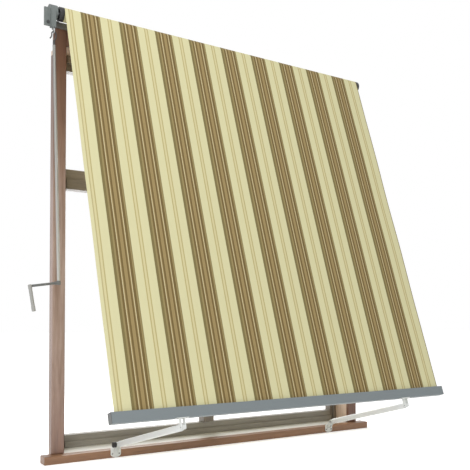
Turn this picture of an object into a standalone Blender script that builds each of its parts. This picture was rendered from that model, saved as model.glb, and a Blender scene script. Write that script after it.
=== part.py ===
"""Drop-arm fabric awning on its wooden window frame.

Metres, +Z up. X runs along the window, -Y points out of the wall and Z = 0 is the underside of the sill.
Y = 0 is the front of the face boards and X = 0 is the middle of the window.
"""

import math

import bmesh
import bpy
from mathutils import Matrix, Vector

# Clearances
GAP = 0.0003
RUN = 0.0006
OVERLAP = 0.002
CUT = 0.010

# Window frame
OPENING_WIDTH = 1.894
HEAD_HEIGHT = 2.100
HEAD_BOARD_WIDTH = 0.078
FACE_WIDTH = 0.066
FACE_THICK = 0.022
LINING_THICK = 0.024
REVEAL = 0.121
SASH_DEPTH = 0.060
SILL_THICK = 0.040
SILL_NOSE = 0.053
HORN_LENGTH = 0.050
HORN_DEPTH = 0.070
STILE_WIDTH = 0.044
BOTTOM_RAIL = 0.066
TOP_RAIL = 0.080
TRANSOM_HEIGHT = 0.106
TRANSOM_Z = 1.394
MULLION_WIDTH = 0.075
MULLION_X = -0.034
REBATE = 0.012
EDGE = 0.003

# Head bar and roller
HEAD_BAR_HEIGHT = 0.032
HEAD_BAR_DEPTH = 0.036
HEAD_BAR_WALL = 0.002
AXIS_RISE = 0.030
AXIS_FORWARD = 0.024
FABRIC_THICK = 0.001
STRIPE_PITCH = 0.2072
STRIPE_CREAM = 0.0798
STRIPE_BROWN = 0.1036
ROLL_RADIUS = 0.035
ROLL_LAP = 0.0013
TUBE_RADIUS = 0.025
TUBE_WALL = 0.0015
PLUG_FLANGE = 0.013
PLUG_FLANGE_RADIUS = 0.0245
PLUG_DEPTH = 0.045
SHAFT_RADIUS = 0.0075
BRACKET_FROM_END = 0.007
BRACKET_INSET = 0.0310
BRACKET_THICK = 0.004
BRACKET_RADIUS = 0.020
BRACKET_FOOT = 0.020
BRACKET_FOOT_THICK = 0.003
SCREW_HEAD = 0.0045
SCREW_HEAD_HEIGHT = 0.002

# Winch
WINCH_WIDTH = 0.0337
WINCH_RADIUS = 0.036
WINCH_WALL = 0.003
WINCH_DROP = 0.0883
WINCH_LEG_DEPTH = 0.025
WINCH_LEG_WIDTH = 0.0215
STEM_MARGIN = 0.0016
WINCH_LEG_DROP = 0.020
COVER_WIDTH = 0.0333
COVER_RISE = 0.0087
COVER_LIFT = 0.006
COVER_FRONT = 0.056
COVER_DEPTH = 0.012
COVER_CORNER = 0.004
SEAM_WIDTH = 0.002
SEAM_DEPTH = 0.0015
SEAM_INSET = 0.016
SEAM_RISE = 0.046
WINCH_BOLT_RADIUS = 0.0075
WINCH_BOLT_HEIGHT = 0.005
WINCH_BOLT_RISE = 0.0227
WHEEL_WIDTH = 0.008
WHEEL_TEETH = 14
TOOTH_DEPTH = 0.003
WORM_RADIUS = 0.0055
WORM_LENGTH = 0.020
WORM_DROP = 0.004
STEM_RADIUS = 0.004
EYE_RADIUS = 0.0115
EYE_WIRE = 0.0025

# Crank
CRANK_INSET = 0.012
HOOK_FORWARD = 0.0345
HOOK_SPACE = 0.022
CRANK_TILT = math.radians(4.55)
HOOK_RADIUS = 0.011
HOOK_WIRE = 0.003
ROD_TOP = 0.070
ROD_BOTTOM = 1.240
ROD_RADIUS = 0.0075
FERRULE_LENGTH = 0.024
FERRULE_RADIUS = 0.0055
ELBOW_RADIUS = 0.0095
CRANK_REACH = 0.138
CRANK_DROOP = math.radians(8.0)
CRANK_ARM_RADIUS = 0.006
GRIP_LENGTH = 0.127
GRIP_RADIUS = 0.0092

# Front bar
HEM_Y = -0.707
HEM_Z = 0.328
BAR_OVERHANG = 0.019
BAR_HEIGHT = 0.048
BAR_FRONT = 0.016
BAR_BACK = 0.020
BAR_WALL = 0.002
BAR_FLOOR = 0.016
SLOT_WIDTH = 0.003
SLOT_DEPTH = 0.004
KEDER_RADIUS = 0.004
HEM_ROD_RADIUS = 0.0033
CAP_THICK = 0.003

# Arms, with the place of each sill bracket and of each clip along the window
PIVOT_Y = -0.087
PIVOT_Z = 0.0725
SIDES = {"left": (-0.695, -0.674, -1), "right": (0.730, 0.686, 1)}
PIN_DROP = 0.089
PIN_FORWARD = 0.010
TUBE_HEIGHT = 0.030
TUBE_BREADTH = 0.015
ARM_WALL = 0.0015
ARM_CORNER = 0.0055
BOSS_RADIUS = 0.0125
BOSS_WIDTH = 0.015
NECK_START = 0.017
NECK_LENGTH = 0.040
BOLT_RADIUS = 0.004
BOLT_HEAD = 0.0075
BOLT_HEAD_HEIGHT = 0.005
KNOB_RADIUS = 0.014
KNOB_THICK = 0.017
EAR_THICK = 0.004
EAR_RADIUS = 0.0115
SHIELD_WIDTH = 0.055
SHIELD_TOP = 0.052
SHIELD_BOTTOM = 0.003
SHIELD_THICK = 0.004
CLIP_LENGTH = 0.060
CLIP_DEPTH = 0.026
CLIP_THICK = 0.003
CLIP_EAR_RADIUS = 0.010
CLIP_SCREW_SPREAD = 0.0217
PIN_RADIUS = 0.003
TIP_RADIUS = 0.010

# Derived places
HALF_OPENING = OPENING_WIDTH / 2
FACE_TOP = HEAD_HEIGHT + HEAD_BOARD_WIDTH
FRAME_HALF = HALF_OPENING + FACE_WIDTH
SILL_HALF = FRAME_HALF + HORN_LENGTH
LINING_FRONT = FACE_THICK + GAP
WINDOW_FRONT = REVEAL
WINDOW_BACK = REVEAL + SASH_DEPTH
SILL_TOP = SILL_THICK + GAP
HEAD_BAR_BOTTOM = FACE_TOP + GAP
HEAD_BAR_TOP = HEAD_BAR_BOTTOM + HEAD_BAR_HEIGHT
AXIS_Y = -AXIS_FORWARD
AXIS_Z = HEAD_BAR_TOP + AXIS_RISE
BRACKET_X = FRAME_HALF - BRACKET_FROM_END
HALF_FABRIC = BRACKET_X - BRACKET_INSET
WINCH_RIGHT = -(BRACKET_X + BRACKET_THICK + GAP)
WINCH_LEFT = WINCH_RIGHT - WINCH_WIDTH
WINCH_BOTTOM = AXIS_Z - WINCH_DROP
COVER_TOP = AXIS_Z + COVER_RISE
CRANK_X = WINCH_LEFT + CRANK_INSET
COVER_RIGHT = WINCH_LEFT - GAP
COVER_LEFT = COVER_RIGHT - COVER_WIDTH
HOOK_TOP = (AXIS_Y - HOOK_FORWARD, WINCH_BOTTOM - HOOK_SPACE)
STEM_Y = HOOK_TOP[0] + HOOK_SPACE * math.tan(CRANK_TILT)
WINCH_LEG_FRONT = STEM_Y - STEM_RADIUS - RUN - STEM_MARGIN - WINCH_WALL
HALF_BAR = HALF_FABRIC + BAR_OVERHANG

# The taut fabric leaves the roll on its front and runs to the slot of the front bar
HEM_RUN = Vector((0, HEM_Y - AXIS_Y, HEM_Z - AXIS_Z))
HEM_LINE = ROLL_RADIUS - FABRIC_THICK / 2
FABRIC_LENGTH = math.sqrt(HEM_RUN.length ** 2 - HEM_LINE ** 2)
FABRIC_LEAN = math.atan2(-HEM_RUN.y, -HEM_RUN.z) - math.asin(HEM_LINE / HEM_RUN.length)

COLOURS = {
    "wood": ((0.27, 0.12, 0.07), 0.35, 0.0),
    "window_wood": ((0.17, 0.14, 0.11), 0.5, 0.0),
    "lining_wood": ((0.50, 0.33, 0.22), 0.5, 0.0),
    "grey_aluminium": ((0.30, 0.33, 0.34), 0.4, 0.6),
    "pale_metal": ((0.62, 0.65, 0.66), 0.35, 0.5),
    "zinc": ((0.45, 0.47, 0.47), 0.4, 0.9),
    "dark_steel": ((0.08, 0.08, 0.08), 0.4, 0.8),
    "black_plastic": ((0.02, 0.02, 0.022), 0.5, 0.0),
    "grey_plastic": ((0.33, 0.34, 0.33), 0.5, 0.0),
    "cream_fabric": ((0.80, 0.77, 0.52), 0.9, 0.0),
    "brown_fabric": ((0.28, 0.19, 0.10), 0.9, 0.0),
}


def clear_scene():
    for old in list(bpy.data.objects):
        bpy.data.objects.remove(old, do_unlink=True)


def make_collection(name):
    collection = bpy.data.collections.new(name)
    bpy.context.scene.collection.children.link(collection)
    return collection


def make_materials():
    materials = {}
    for name, (colour, roughness, metallic) in COLOURS.items():
        material = bpy.data.materials.new(name)
        material.use_nodes = True
        shader = material.node_tree.nodes["Principled BSDF"]
        shader.inputs["Base Color"].default_value = (*colour, 1)
        shader.inputs["Roughness"].default_value = roughness
        shader.inputs["Metallic"].default_value = metallic
        materials[name] = material
    return materials


clear_scene()
PARTS = make_collection("window_awning")
CUTTERS = make_collection("cutters")
MATERIALS = make_materials()


def add_object(name, data, material, parent=None, where=PARTS):
    """Links a new object, gives it its material and hangs it under its parent."""
    item = bpy.data.objects.new(name, data)
    where.objects.link(item)
    if material:
        data.materials.clear()
        data.materials.append(MATERIALS[material])
    item.parent = parent
    return item


def add_empty(name, place, turn=(0, 0, 0), order="XYZ"):
    empty = bpy.data.objects.new(name, None)
    PARTS.objects.link(empty)
    empty.rotation_mode = order
    empty.location = place
    empty.rotation_euler = turn
    return empty


def as_cutter(item):
    for collection in list(item.users_collection):
        collection.objects.unlink(item)
    CUTTERS.objects.link(item)
    item.hide_render = True
    item.display_type = "WIRE"
    return item


def box(name, low, high, material=None, parent=None):
    """A block between two corners, with its origin in its middle."""
    size = [b - a for a, b in zip(low, high)]
    middle = [(a + b) / 2 for a, b in zip(low, high)]
    mesh = bpy.data.meshes.new(name)
    shape = bmesh.new()
    bmesh.ops.create_cube(shape, size=1)
    bmesh.ops.scale(shape, vec=size, verts=shape.verts)
    shape.to_mesh(mesh)
    shape.free()
    item = add_object(name, mesh, material, parent)
    item.location = middle
    return item


def cylinder(name, radius, start, end, material=None, parent=None, sides=24):
    """A round bar from one point to another."""
    start, end = Vector(start), Vector(end)
    mesh = bpy.data.meshes.new(name)
    shape = bmesh.new()
    bmesh.ops.create_cone(shape, cap_ends=True, segments=sides, radius1=radius, radius2=radius,
                          depth=(end - start).length)
    shape.to_mesh(mesh)
    shape.free()
    mesh.shade_smooth()
    mesh.set_sharp_from_angle(angle=math.radians(40))
    item = add_object(name, mesh, material, parent)
    item.rotation_euler = (end - start).to_track_quat("Z", "Y").to_euler()
    item.location = (start + end) / 2
    return item


def outline(name, loops, low, high, axis, material=None, parent=None):
    """A flat outline, with any holes, drawn out along X, Y or Z from low to high.

    Along X the outline is in (Y, Z), along Y in (X, Z) and along Z in (X, Y).
    """
    curve = bpy.data.curves.new(name, "CURVE")
    curve.dimensions = "2D"
    curve.fill_mode = "BOTH"
    curve.extrude = (high - low) / 2
    for points in loops:
        spline = curve.splines.new("POLY")
        spline.points.add(len(points) - 1)
        for point, (u, v) in zip(spline.points, points):
            point.co = (u, v, 0, 1)
        spline.use_cyclic_u = True
    guide = bpy.data.objects.new(name, curve)
    PARTS.objects.link(guide)
    mesh = bpy.data.meshes.new_from_object(guide.evaluated_get(bpy.context.evaluated_depsgraph_get()))
    bpy.data.objects.remove(guide)
    bpy.data.curves.remove(curve)
    shape = bmesh.new()
    shape.from_mesh(mesh)
    bmesh.ops.remove_doubles(shape, verts=shape.verts, dist=0.00001)
    bmesh.ops.recalc_face_normals(shape, faces=shape.faces)
    shape.to_mesh(mesh)
    shape.free()
    mesh.name = name
    item = add_object(name, mesh, material, parent)
    middle = (low + high) / 2
    quarter = math.pi / 2
    item.rotation_euler = {"X": (quarter, 0, quarter), "Y": (quarter, 0, 0), "Z": (0, 0, 0)}[axis]
    item.location = {"X": (middle, 0, 0), "Y": (0, middle, 0), "Z": (0, 0, middle)}[axis]
    return item


def wire(name, points, radius, material=None, parent=None, resolution=2):
    """A round wire along a line of points, as a closed mesh."""
    curve = bpy.data.curves.new(name, "CURVE")
    curve.dimensions = "3D"
    curve.bevel_depth = radius
    curve.bevel_resolution = resolution
    curve.use_fill_caps = True
    spline = curve.splines.new("POLY")
    spline.points.add(len(points) - 1)
    for point, place in zip(spline.points, points):
        point.co = (*place, 1)
    guide = bpy.data.objects.new(name, curve)
    PARTS.objects.link(guide)
    mesh = bpy.data.meshes.new_from_object(guide.evaluated_get(bpy.context.evaluated_depsgraph_get()))
    bpy.data.objects.remove(guide)
    bpy.data.curves.remove(curve)
    shape = bmesh.new()
    shape.from_mesh(mesh)
    bmesh.ops.remove_doubles(shape, verts=shape.verts, dist=0.00001)
    shape.to_mesh(mesh)
    shape.free()
    mesh.name = name
    return add_object(name, mesh, material, parent)


def arc(centre, radius, start, end, steps):
    """Points on an arc, in degrees, both ends included."""
    turns = [math.radians(start + (end - start) * i / steps) for i in range(steps + 1)]
    return [(centre[0] + radius * math.cos(a), centre[1] + radius * math.sin(a)) for a in turns]


def circle(centre, radius, sides=24):
    return arc(centre, radius, 0, 360 * (sides - 1) / sides, sides - 1)


def rectangle(u0, v0, u1, v1):
    return [(u0, v0), (u1, v0), (u1, v1), (u0, v1)]


def boolean(target, tool, operation="DIFFERENCE"):
    as_cutter(tool)
    modifier = target.modifiers.new(operation.lower(), "BOOLEAN")
    modifier.operation = operation
    modifier.solver = "EXACT"
    modifier.object = tool
    return target


def bevel(item, width, segments=2, angle=40):
    modifier = item.modifiers.new("edges", "BEVEL")
    modifier.width = width
    modifier.segments = segments
    modifier.limit_method = "ANGLE"
    modifier.angle_limit = math.radians(angle)
    return item


def stripe(item):
    """Cuts the faces of a piece of cloth at its stripes and colours the brown ones. The piece's own Z is along X."""
    shape = bmesh.new()
    shape.from_mesh(item.data)
    edges = []
    start = STRIPE_CREAM - HALF_FABRIC
    while start + STRIPE_BROWN < HALF_FABRIC:
        edges += [start, start + STRIPE_BROWN]
        start += STRIPE_PITCH
    for edge in edges:
        bmesh.ops.bisect_plane(shape, geom=shape.verts[:] + shape.edges[:] + shape.faces[:], plane_co=(0, 0, edge),
                               plane_no=(0, 0, 1))
    for face in shape.faces:
        place = face.calc_center_median().z
        face.material_index = sum(edge < place for edge in edges) % 2
    shape.to_mesh(item.data)
    shape.free()
    item.data.materials.append(MATERIALS["brown_fabric"])
    return item


# Sill, face boards and linings

def make_sill():
    body = HALF_OPENING + LINING_THICK
    horn_back = HORN_DEPTH - SILL_NOSE
    plan = [(-SILL_HALF, -SILL_NOSE), (SILL_HALF, -SILL_NOSE), (SILL_HALF, horn_back), (body, horn_back),
            (body, WINDOW_BACK), (-body, WINDOW_BACK), (-body, horn_back), (-SILL_HALF, horn_back)]
    bevel(outline("sill", [plan], 0, SILL_THICK, "Z", "wood"), EDGE, angle=60)


def make_face_boards():
    inner = HALF_OPENING
    for side, sign in (("left", -1), ("right", 1)):
        low, high = sorted((sign * inner, sign * FRAME_HALF))
        board = box(f"{side}_face_board", (low, 0, SILL_TOP), (high, FACE_THICK, FACE_TOP), "wood")
        bevel(board, EDGE)
    head = box("head_face_board", (-inner + GAP, 0, HEAD_HEIGHT), (inner - GAP, FACE_THICK, FACE_TOP), "wood")
    bevel(head, EDGE)


def make_linings():
    for side, sign in (("left", -1), ("right", 1)):
        low, high = sorted((sign * HALF_OPENING, sign * (HALF_OPENING + LINING_THICK)))
        box(f"{side}_lining", (low, LINING_FRONT, SILL_TOP), (high, WINDOW_BACK, HEAD_HEIGHT - GAP), "lining_wood")
    reach = HALF_OPENING + LINING_THICK
    box("head_lining", (-reach, LINING_FRONT, HEAD_HEIGHT), (reach, WINDOW_BACK, HEAD_HEIGHT + LINING_THICK),
        "lining_wood")


# Window behind the linings

def rebated(start, end, step, high_side):
    """A rail or stile section: its depth along the window's, set back past the step on one side."""
    front, back = WINDOW_FRONT, WINDOW_BACK
    deep = front + REBATE
    if high_side:
        return [(start, front), (step, front), (step, deep), (end, deep), (end, back), (start, back)]
    return [(start, deep), (step, deep), (step, front), (end, front), (end, back), (start, back)]


def make_window():
    inner = HALF_OPENING - GAP
    stile = HALF_OPENING - STILE_WIDTH
    top = HEAD_HEIGHT - GAP
    half_step = STILE_WIDTH / 2
    left = [rebated(-inner, -stile, -inner + half_step, True)]
    right = [rebated(stile, inner, inner - half_step, False)]
    outline("left_stile", left, SILL_TOP, top, "Z", "window_wood")
    outline("right_stile", right, SILL_TOP, top, "Z", "window_wood")
    rail = stile - GAP
    bottom_top = SILL_THICK + BOTTOM_RAIL
    transom_top = TRANSOM_Z + TRANSOM_HEIGHT
    top_rail_z = HEAD_HEIGHT - TOP_RAIL
    sections = {
        "bottom_rail": rebated(SILL_TOP, bottom_top, SILL_THICK + BOTTOM_RAIL / 2, True),
        "transom": rebated(TRANSOM_Z, transom_top, TRANSOM_Z + TRANSOM_HEIGHT / 2, True),
        "top_rail": rebated(top_rail_z, top, HEAD_HEIGHT - TOP_RAIL / 2, False),
    }
    for name, section in sections.items():
        turned = [(depth, height) for height, depth in section]
        outline(name, [turned], -rail, rail, "X", "window_wood")
    low, high = MULLION_X - MULLION_WIDTH / 2, MULLION_X + MULLION_WIDTH / 2
    post = [rebated(low, high, MULLION_X, True)]
    outline("lower_mullion", post, bottom_top + GAP, TRANSOM_Z - GAP, "Z", "window_wood")
    outline("upper_mullion", post, transom_top + GAP, top_rail_z - GAP, "Z", "window_wood")


# Head bar and roller brackets

def make_head_bar():
    wall = HEAD_BAR_WALL
    outer = rectangle(0, HEAD_BAR_BOTTOM, HEAD_BAR_DEPTH, HEAD_BAR_TOP)
    inner = rectangle(wall, HEAD_BAR_BOTTOM + wall, HEAD_BAR_DEPTH - wall, HEAD_BAR_TOP - wall)
    outline("head_bar", [outer, inner], -FRAME_HALF, FRAME_HALF, "X", "grey_aluminium")


def make_brackets():
    seat = HEAD_BAR_TOP + GAP
    back = HEAD_BAR_DEPTH - OVERLAP
    centre = (AXIS_Y, AXIS_Z)
    cheek = [(0, seat), (back, seat), (back, seat + BRACKET_FOOT_THICK * 2)] + arc(centre, BRACKET_RADIUS, 45, 255, 14)
    for side, sign in (("left", -1), ("right", 1)):
        bore = SHAFT_RADIUS + RUN
        low, high = sorted((sign * BRACKET_X, sign * (BRACKET_X + BRACKET_THICK)))
        plate = outline(f"{side}_bracket", [cheek, circle(centre, bore)], low, high, "X", "grey_aluminium")
        foot_in = sign * (BRACKET_X - BRACKET_FOOT)
        low, high = sorted((foot_in, sign * (BRACKET_X + OVERLAP)))
        foot = box(f"{side}_foot", (low, OVERLAP, seat), (high, back - EDGE, seat + BRACKET_FOOT_THICK))
        boolean(plate, foot, "UNION")
        screw_x = sign * (BRACKET_X - BRACKET_FOOT / 2)
        top = seat + BRACKET_FOOT_THICK
        middle = (OVERLAP + back - EDGE) / 2
        for y in (middle - SCREW_HEAD * 1.4, middle + SCREW_HEAD * 1.4):
            head = cylinder(f"{side}_bracket_screw", SCREW_HEAD, (screw_x, y, top - BRACKET_FOOT_THICK / 2),
                            (screw_x, y, top + SCREW_HEAD_HEIGHT), sides=12)
            boolean(plate, head, "UNION")


# Roller

def make_roller():
    axis = (AXIS_Y, AXIS_Z)
    bore = TUBE_RADIUS - TUBE_WALL
    outline("roller_tube", [circle(axis, TUBE_RADIUS, 20), circle(axis, bore, 20)], -HALF_FABRIC, HALF_FABRIC, "X", "zinc")
    for side, sign, hole in (("left", -1, SHAFT_RADIUS + GAP), ("right", 1, SHAFT_RADIUS + GAP)):
        face = HALF_FABRIC + GAP
        low, high = sorted((sign * face, sign * (face + PLUG_FLANGE)))
        flange = outline(f"{side}_plug", [circle(axis, PLUG_FLANGE_RADIUS), circle(axis, hole)], low, high, "X",
                         "grey_plastic")
        low, high = sorted((sign * (face + OVERLAP), sign * (face - PLUG_DEPTH)))
        body = outline("plug_body", [circle(axis, bore - GAP, 20), circle(axis, hole)], low, high, "X")
        boolean(flange, body, "UNION")
    shaft_in = HALF_FABRIC - PLUG_DEPTH + CUT
    cylinder("drive_shaft", SHAFT_RADIUS, (WINCH_LEFT + OVERLAP, *axis), (-shaft_in, *axis), "zinc")
    cylinder("idle_pin", SHAFT_RADIUS, (shaft_in, *axis), (BRACKET_X + CUT, *axis), "zinc")


def make_fabric_roll():
    """The turns of cloth on the tube: one spiral whose last turn ends where the sheet leaves."""
    leave = 180 - math.degrees(FABRIC_LEAN)
    steps = 32
    turn = []
    for i in range(steps + 1):
        angle = math.radians(leave - 360 * i / steps)
        radius = ROLL_RADIUS - ROLL_LAP * i / steps
        turn.append((AXIS_Y + radius * math.cos(angle), AXIS_Z + radius * math.sin(angle)))
    hole = circle((AXIS_Y, AXIS_Z), TUBE_RADIUS + GAP, 20)
    stripe(outline("fabric_roll", [turn, hole], -HALF_FABRIC, HALF_FABRIC, "X", "cream_fabric"))


# Winch

def make_winch():
    axis = (AXIS_Y, AXIS_Z)
    front = WINCH_LEG_FRONT
    back = front + WINCH_LEG_DEPTH
    knee_z = AXIS_Z - WINCH_LEG_DROP
    wall = WINCH_WALL

    def body(inset):
        radius = WINCH_RADIUS - inset
        foot = WINCH_BOTTOM + inset
        knee = math.degrees(math.asin(min(1, (back - inset - AXIS_Y) / radius)))
        leg = [(front + inset, knee_z), (front + inset, foot), (back - inset, foot)]
        return leg + arc(axis, radius, knee - 90, 180, 20)

    leg_right = WINCH_LEFT + WINCH_LEG_WIDTH
    housing = outline("winch_housing", [body(0)], WINCH_LEFT, WINCH_RIGHT, "X", "grey_aluminium")
    knee = math.degrees(math.asin((back - AXIS_Y) / WINCH_RADIUS))
    below = arc(axis, WINCH_RADIUS, 180, 270 + knee, 6)
    low = WINCH_BOTTOM - CUT
    below += [(back + CUT, below[-1][1] - CUT), (back + CUT, low), (front - CUT, low), (front - CUT, AXIS_Z)]
    boolean(housing, outline("beside_leg", [below], leg_right, WINCH_RIGHT + CUT, "X"))
    boolean(housing, outline("winch_room", [body(wall)], WINCH_LEFT - CUT, leg_right - wall, "X"))
    drum_room = circle(axis, WINCH_RADIUS - wall - RUN, 32)
    boolean(housing, outline("drum_room", [drum_room], leg_right - wall - OVERLAP, WINCH_RIGHT - wall, "X"))
    bore = cylinder("shaft_bore", SHAFT_RADIUS + RUN, (WINCH_LEFT, *axis), (WINCH_RIGHT + CUT, *axis))
    boolean(housing, bore)
    top = Vector((CRANK_X, *HOOK_TOP))
    up = Vector((0, math.sin(CRANK_TILT), math.cos(CRANK_TILT)))
    boolean(housing, cylinder("stem_bore", STEM_RADIUS + RUN, top, top + up * (WINCH_BOTTOM - top.z + CUT)))

    def cover(inset):
        front_y, rear_y = -COVER_FRONT + inset, COVER_DEPTH - COVER_FRONT - inset
        low, high = WINCH_BOTTOM + COVER_LIFT + inset, COVER_TOP - inset
        corner = (front_y + COVER_CORNER, high - COVER_CORNER)
        return [(front_y, low), (rear_y, low), (rear_y, high)] + arc(corner, COVER_CORNER, 90, 180, 5)

    shell = outline("winch_cover", [cover(0)], COVER_LEFT, COVER_RIGHT, "X", "grey_aluminium")
    boolean(shell, outline("winch_lid", [body(0)], COVER_RIGHT - wall, COVER_RIGHT, "X"), "UNION")
    boolean(shell, outline("cover_room", [cover(wall)], COVER_LEFT + wall, COVER_RIGHT + CUT, "X"))
    seam_x = COVER_LEFT + SEAM_INSET
    boolean(shell, box("seam_cut", (seam_x, -COVER_FRONT - CUT, WINCH_BOTTOM + SEAM_RISE),
                       (seam_x + SEAM_WIDTH, -COVER_FRONT + SEAM_DEPTH, COVER_TOP - CUT)))
    bolt_x = seam_x + SEAM_WIDTH / 2
    bolt_z = WINCH_BOTTOM + WINCH_BOLT_RISE
    bolt_y = -COVER_FRONT - GAP
    cylinder("winch_bolt", WINCH_BOLT_RADIUS, (bolt_x, bolt_y, bolt_z), (bolt_x, bolt_y - WINCH_BOLT_HEIGHT, bolt_z),
             "dark_steel", sides=6)


def make_worm_gear():
    up = Vector((0, math.sin(CRANK_TILT), math.cos(CRANK_TILT)))
    hook = Vector((0, *HOOK_TOP))
    to_axis = Vector((0, AXIS_Y, AXIS_Z)) - hook
    along = to_axis.dot(up)
    apart = (to_axis - up * along).length
    wheel_radius = apart - WORM_RADIUS - GAP
    teeth = []
    for i in range(WHEEL_TEETH):
        for part, radius in ((0.0, wheel_radius - TOOTH_DEPTH), (0.3, wheel_radius), (0.6, wheel_radius),
                             (0.9, wheel_radius - TOOTH_DEPTH)):
            angle = 2 * math.pi * (i + part) / WHEEL_TEETH
            teeth.append((AXIS_Y + radius * math.cos(angle), AXIS_Z + radius * math.sin(angle)))
    half = WHEEL_WIDTH / 2
    outline("worm_wheel", [teeth, circle((AXIS_Y, AXIS_Z), SHAFT_RADIUS + GAP)], CRANK_X - half, CRANK_X + half, "X",
            "zinc")

    eye_z = EYE_RADIUS - EYE_WIRE - HOOK_WIRE - RUN
    ring = bpy.data.meshes.new("worm_shaft")
    shape = bmesh.new()
    profile = [shape.verts.new((EYE_WIRE * math.cos(a), EYE_RADIUS + EYE_WIRE * math.sin(a), 0))
               for a in (2 * math.pi * i / 10 for i in range(10))]
    loop = [shape.edges.new((profile[i], profile[(i + 1) % 10])) for i in range(10)]
    bmesh.ops.spin(shape, geom=profile + loop, axis=(1, 0, 0), cent=(0, 0, 0), angle=2 * math.pi, steps=24,
                   use_merge=True)
    bmesh.ops.remove_doubles(shape, verts=shape.verts, dist=0.00001)
    bmesh.ops.recalc_face_normals(shape, faces=shape.faces)
    shape.to_mesh(ring)
    shape.free()
    eye = add_object("worm_shaft", ring, "zinc", CRANK)
    eye.location = (0, 0, eye_z)
    worm_low = along - WORM_DROP - WORM_LENGTH / 2
    stem = cylinder("stem", STEM_RADIUS, (0, 0, eye_z + EYE_RADIUS - EYE_WIRE / 2), (0, 0, worm_low + OVERLAP),
                    parent=CRANK, sides=16)
    boolean(eye, stem, "UNION")
    worm = cylinder("worm", WORM_RADIUS, (0, 0, worm_low), (0, 0, worm_low + WORM_LENGTH), parent=CRANK, sides=20)
    boolean(eye, worm, "UNION")


# Crank, modelled straight down under an empty on the hook's bend

def make_crank():
    rise = [(0.0, -ROD_TOP + OVERLAP), (0.0, -0.052), (HOOK_RADIUS * 0.35, -0.043), (HOOK_RADIUS * 0.85, -0.032),
            (HOOK_RADIUS, -0.022)]
    bend = arc((0, -HOOK_RADIUS), HOOK_RADIUS, 0, 180, 8)
    tip = [(-HOOK_RADIUS, -0.022), (-HOOK_RADIUS * 1.35, -0.031), (-HOOK_RADIUS * 1.8, -0.038)]
    hook = wire("crank_hook", [(x, 0, z) for x, z in rise + bend + tip], HOOK_WIRE, "dark_steel", CRANK)
    hook.location = (0, 0, 0)
    ferrule_top = ROD_TOP - FERRULE_LENGTH
    ferrule = cylinder("crank_ferrule", FERRULE_RADIUS, (0, 0, -ferrule_top), (0, 0, -ROD_TOP + GAP), "dark_steel",
                       CRANK, sides=16)
    boolean(ferrule, wire("hook_room", [(x, 0, z) for x, z in [(0, -ROD_TOP - CUT)] + rise[1:]], HOOK_WIRE + GAP,
                          parent=CRANK))
    rod = cylinder("crank_rod", ROD_RADIUS, (0, 0, -ROD_TOP), (0, 0, -ROD_BOTTOM), "pale_metal", CRANK, sides=20)
    boolean(rod, cylinder("hook_seat", HOOK_WIRE + GAP, (0, 0, -ROD_TOP + CUT), (0, 0, -ROD_TOP - CUT), parent=CRANK,
                          sides=12))
    out = Vector((-math.cos(CRANK_DROOP), 0, -math.sin(CRANK_DROOP)))
    down = Vector((math.sin(CRANK_DROOP), 0, -math.cos(CRANK_DROOP)))
    corner = Vector((0, 0, -ROD_BOTTOM - ELBOW_RADIUS))
    elbow = cylinder("crank_elbow", ELBOW_RADIUS, (0, 0, -ROD_BOTTOM - GAP), corner - Vector((0, 0, ELBOW_RADIUS)),
                     "grey_plastic", CRANK, sides=20)
    arm_start = ELBOW_RADIUS * 2
    sleeve = cylinder("sleeve", ELBOW_RADIUS * 0.85, corner, corner + out * arm_start, parent=CRANK, sides=20)
    boolean(elbow, sleeve, "UNION")
    knuckle = corner + out * CRANK_REACH
    arm_end = CRANK_REACH - GRIP_RADIUS - GAP
    cylinder("crank_arm", CRANK_ARM_RADIUS, corner + out * (arm_start + GAP), corner + out * arm_end, "grey_plastic",
             CRANK, sides=16)
    grip_top = knuckle - down * CRANK_ARM_RADIUS * 1.2
    grip = cylinder("crank_grip", GRIP_RADIUS, grip_top, grip_top + down * GRIP_LENGTH, "grey_plastic", CRANK)
    bevel(grip, 0.002)


# Front bar, modelled upright under an empty at the mouth of its slot

def bar_section():
    """Outer outline of the bar with the keyhole slot that holds the hem rod."""
    mouth = SLOT_WIDTH / 2
    centre = (0, -SLOT_DEPTH - KEDER_RADIUS * 0.9)
    spread = math.degrees(math.asin(mouth / KEDER_RADIUS))
    channel = arc(centre, KEDER_RADIUS, 90 + spread, 450 - spread, 14)
    return [(-BAR_FRONT, -BAR_HEIGHT), (BAR_BACK, -BAR_HEIGHT), (BAR_BACK, 0), (mouth, 0)] + channel[::-1] + [
        (-mouth, 0), (-BAR_FRONT, 0)]


def make_front_bar():
    wall = BAR_WALL
    room = rectangle(-BAR_FRONT + wall, -BAR_HEIGHT + wall, BAR_BACK - wall, -BAR_FLOOR)
    outline("front_bar", [bar_section(), room], -HALF_BAR, HALF_BAR, "X", "grey_aluminium", BAR)
    for side, sign in (("left", -1), ("right", 1)):
        low, high = sorted((sign * (HALF_BAR + GAP), sign * (HALF_BAR + GAP + CAP_THICK)))
        cap = box(f"{side}_end_cap", (low, -BAR_FRONT, -BAR_HEIGHT), (high, BAR_BACK, 0), "grey_plastic", BAR)
        bevel(cap, 0.0008, 1)
    rod_z = -SLOT_DEPTH - KEDER_RADIUS * 0.9
    cylinder("hem_rod", HEM_ROD_RADIUS, (-HALF_FABRIC, 0, rod_z), (HALF_FABRIC, 0, rod_z), "zinc", BAR, sides=16)


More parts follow.
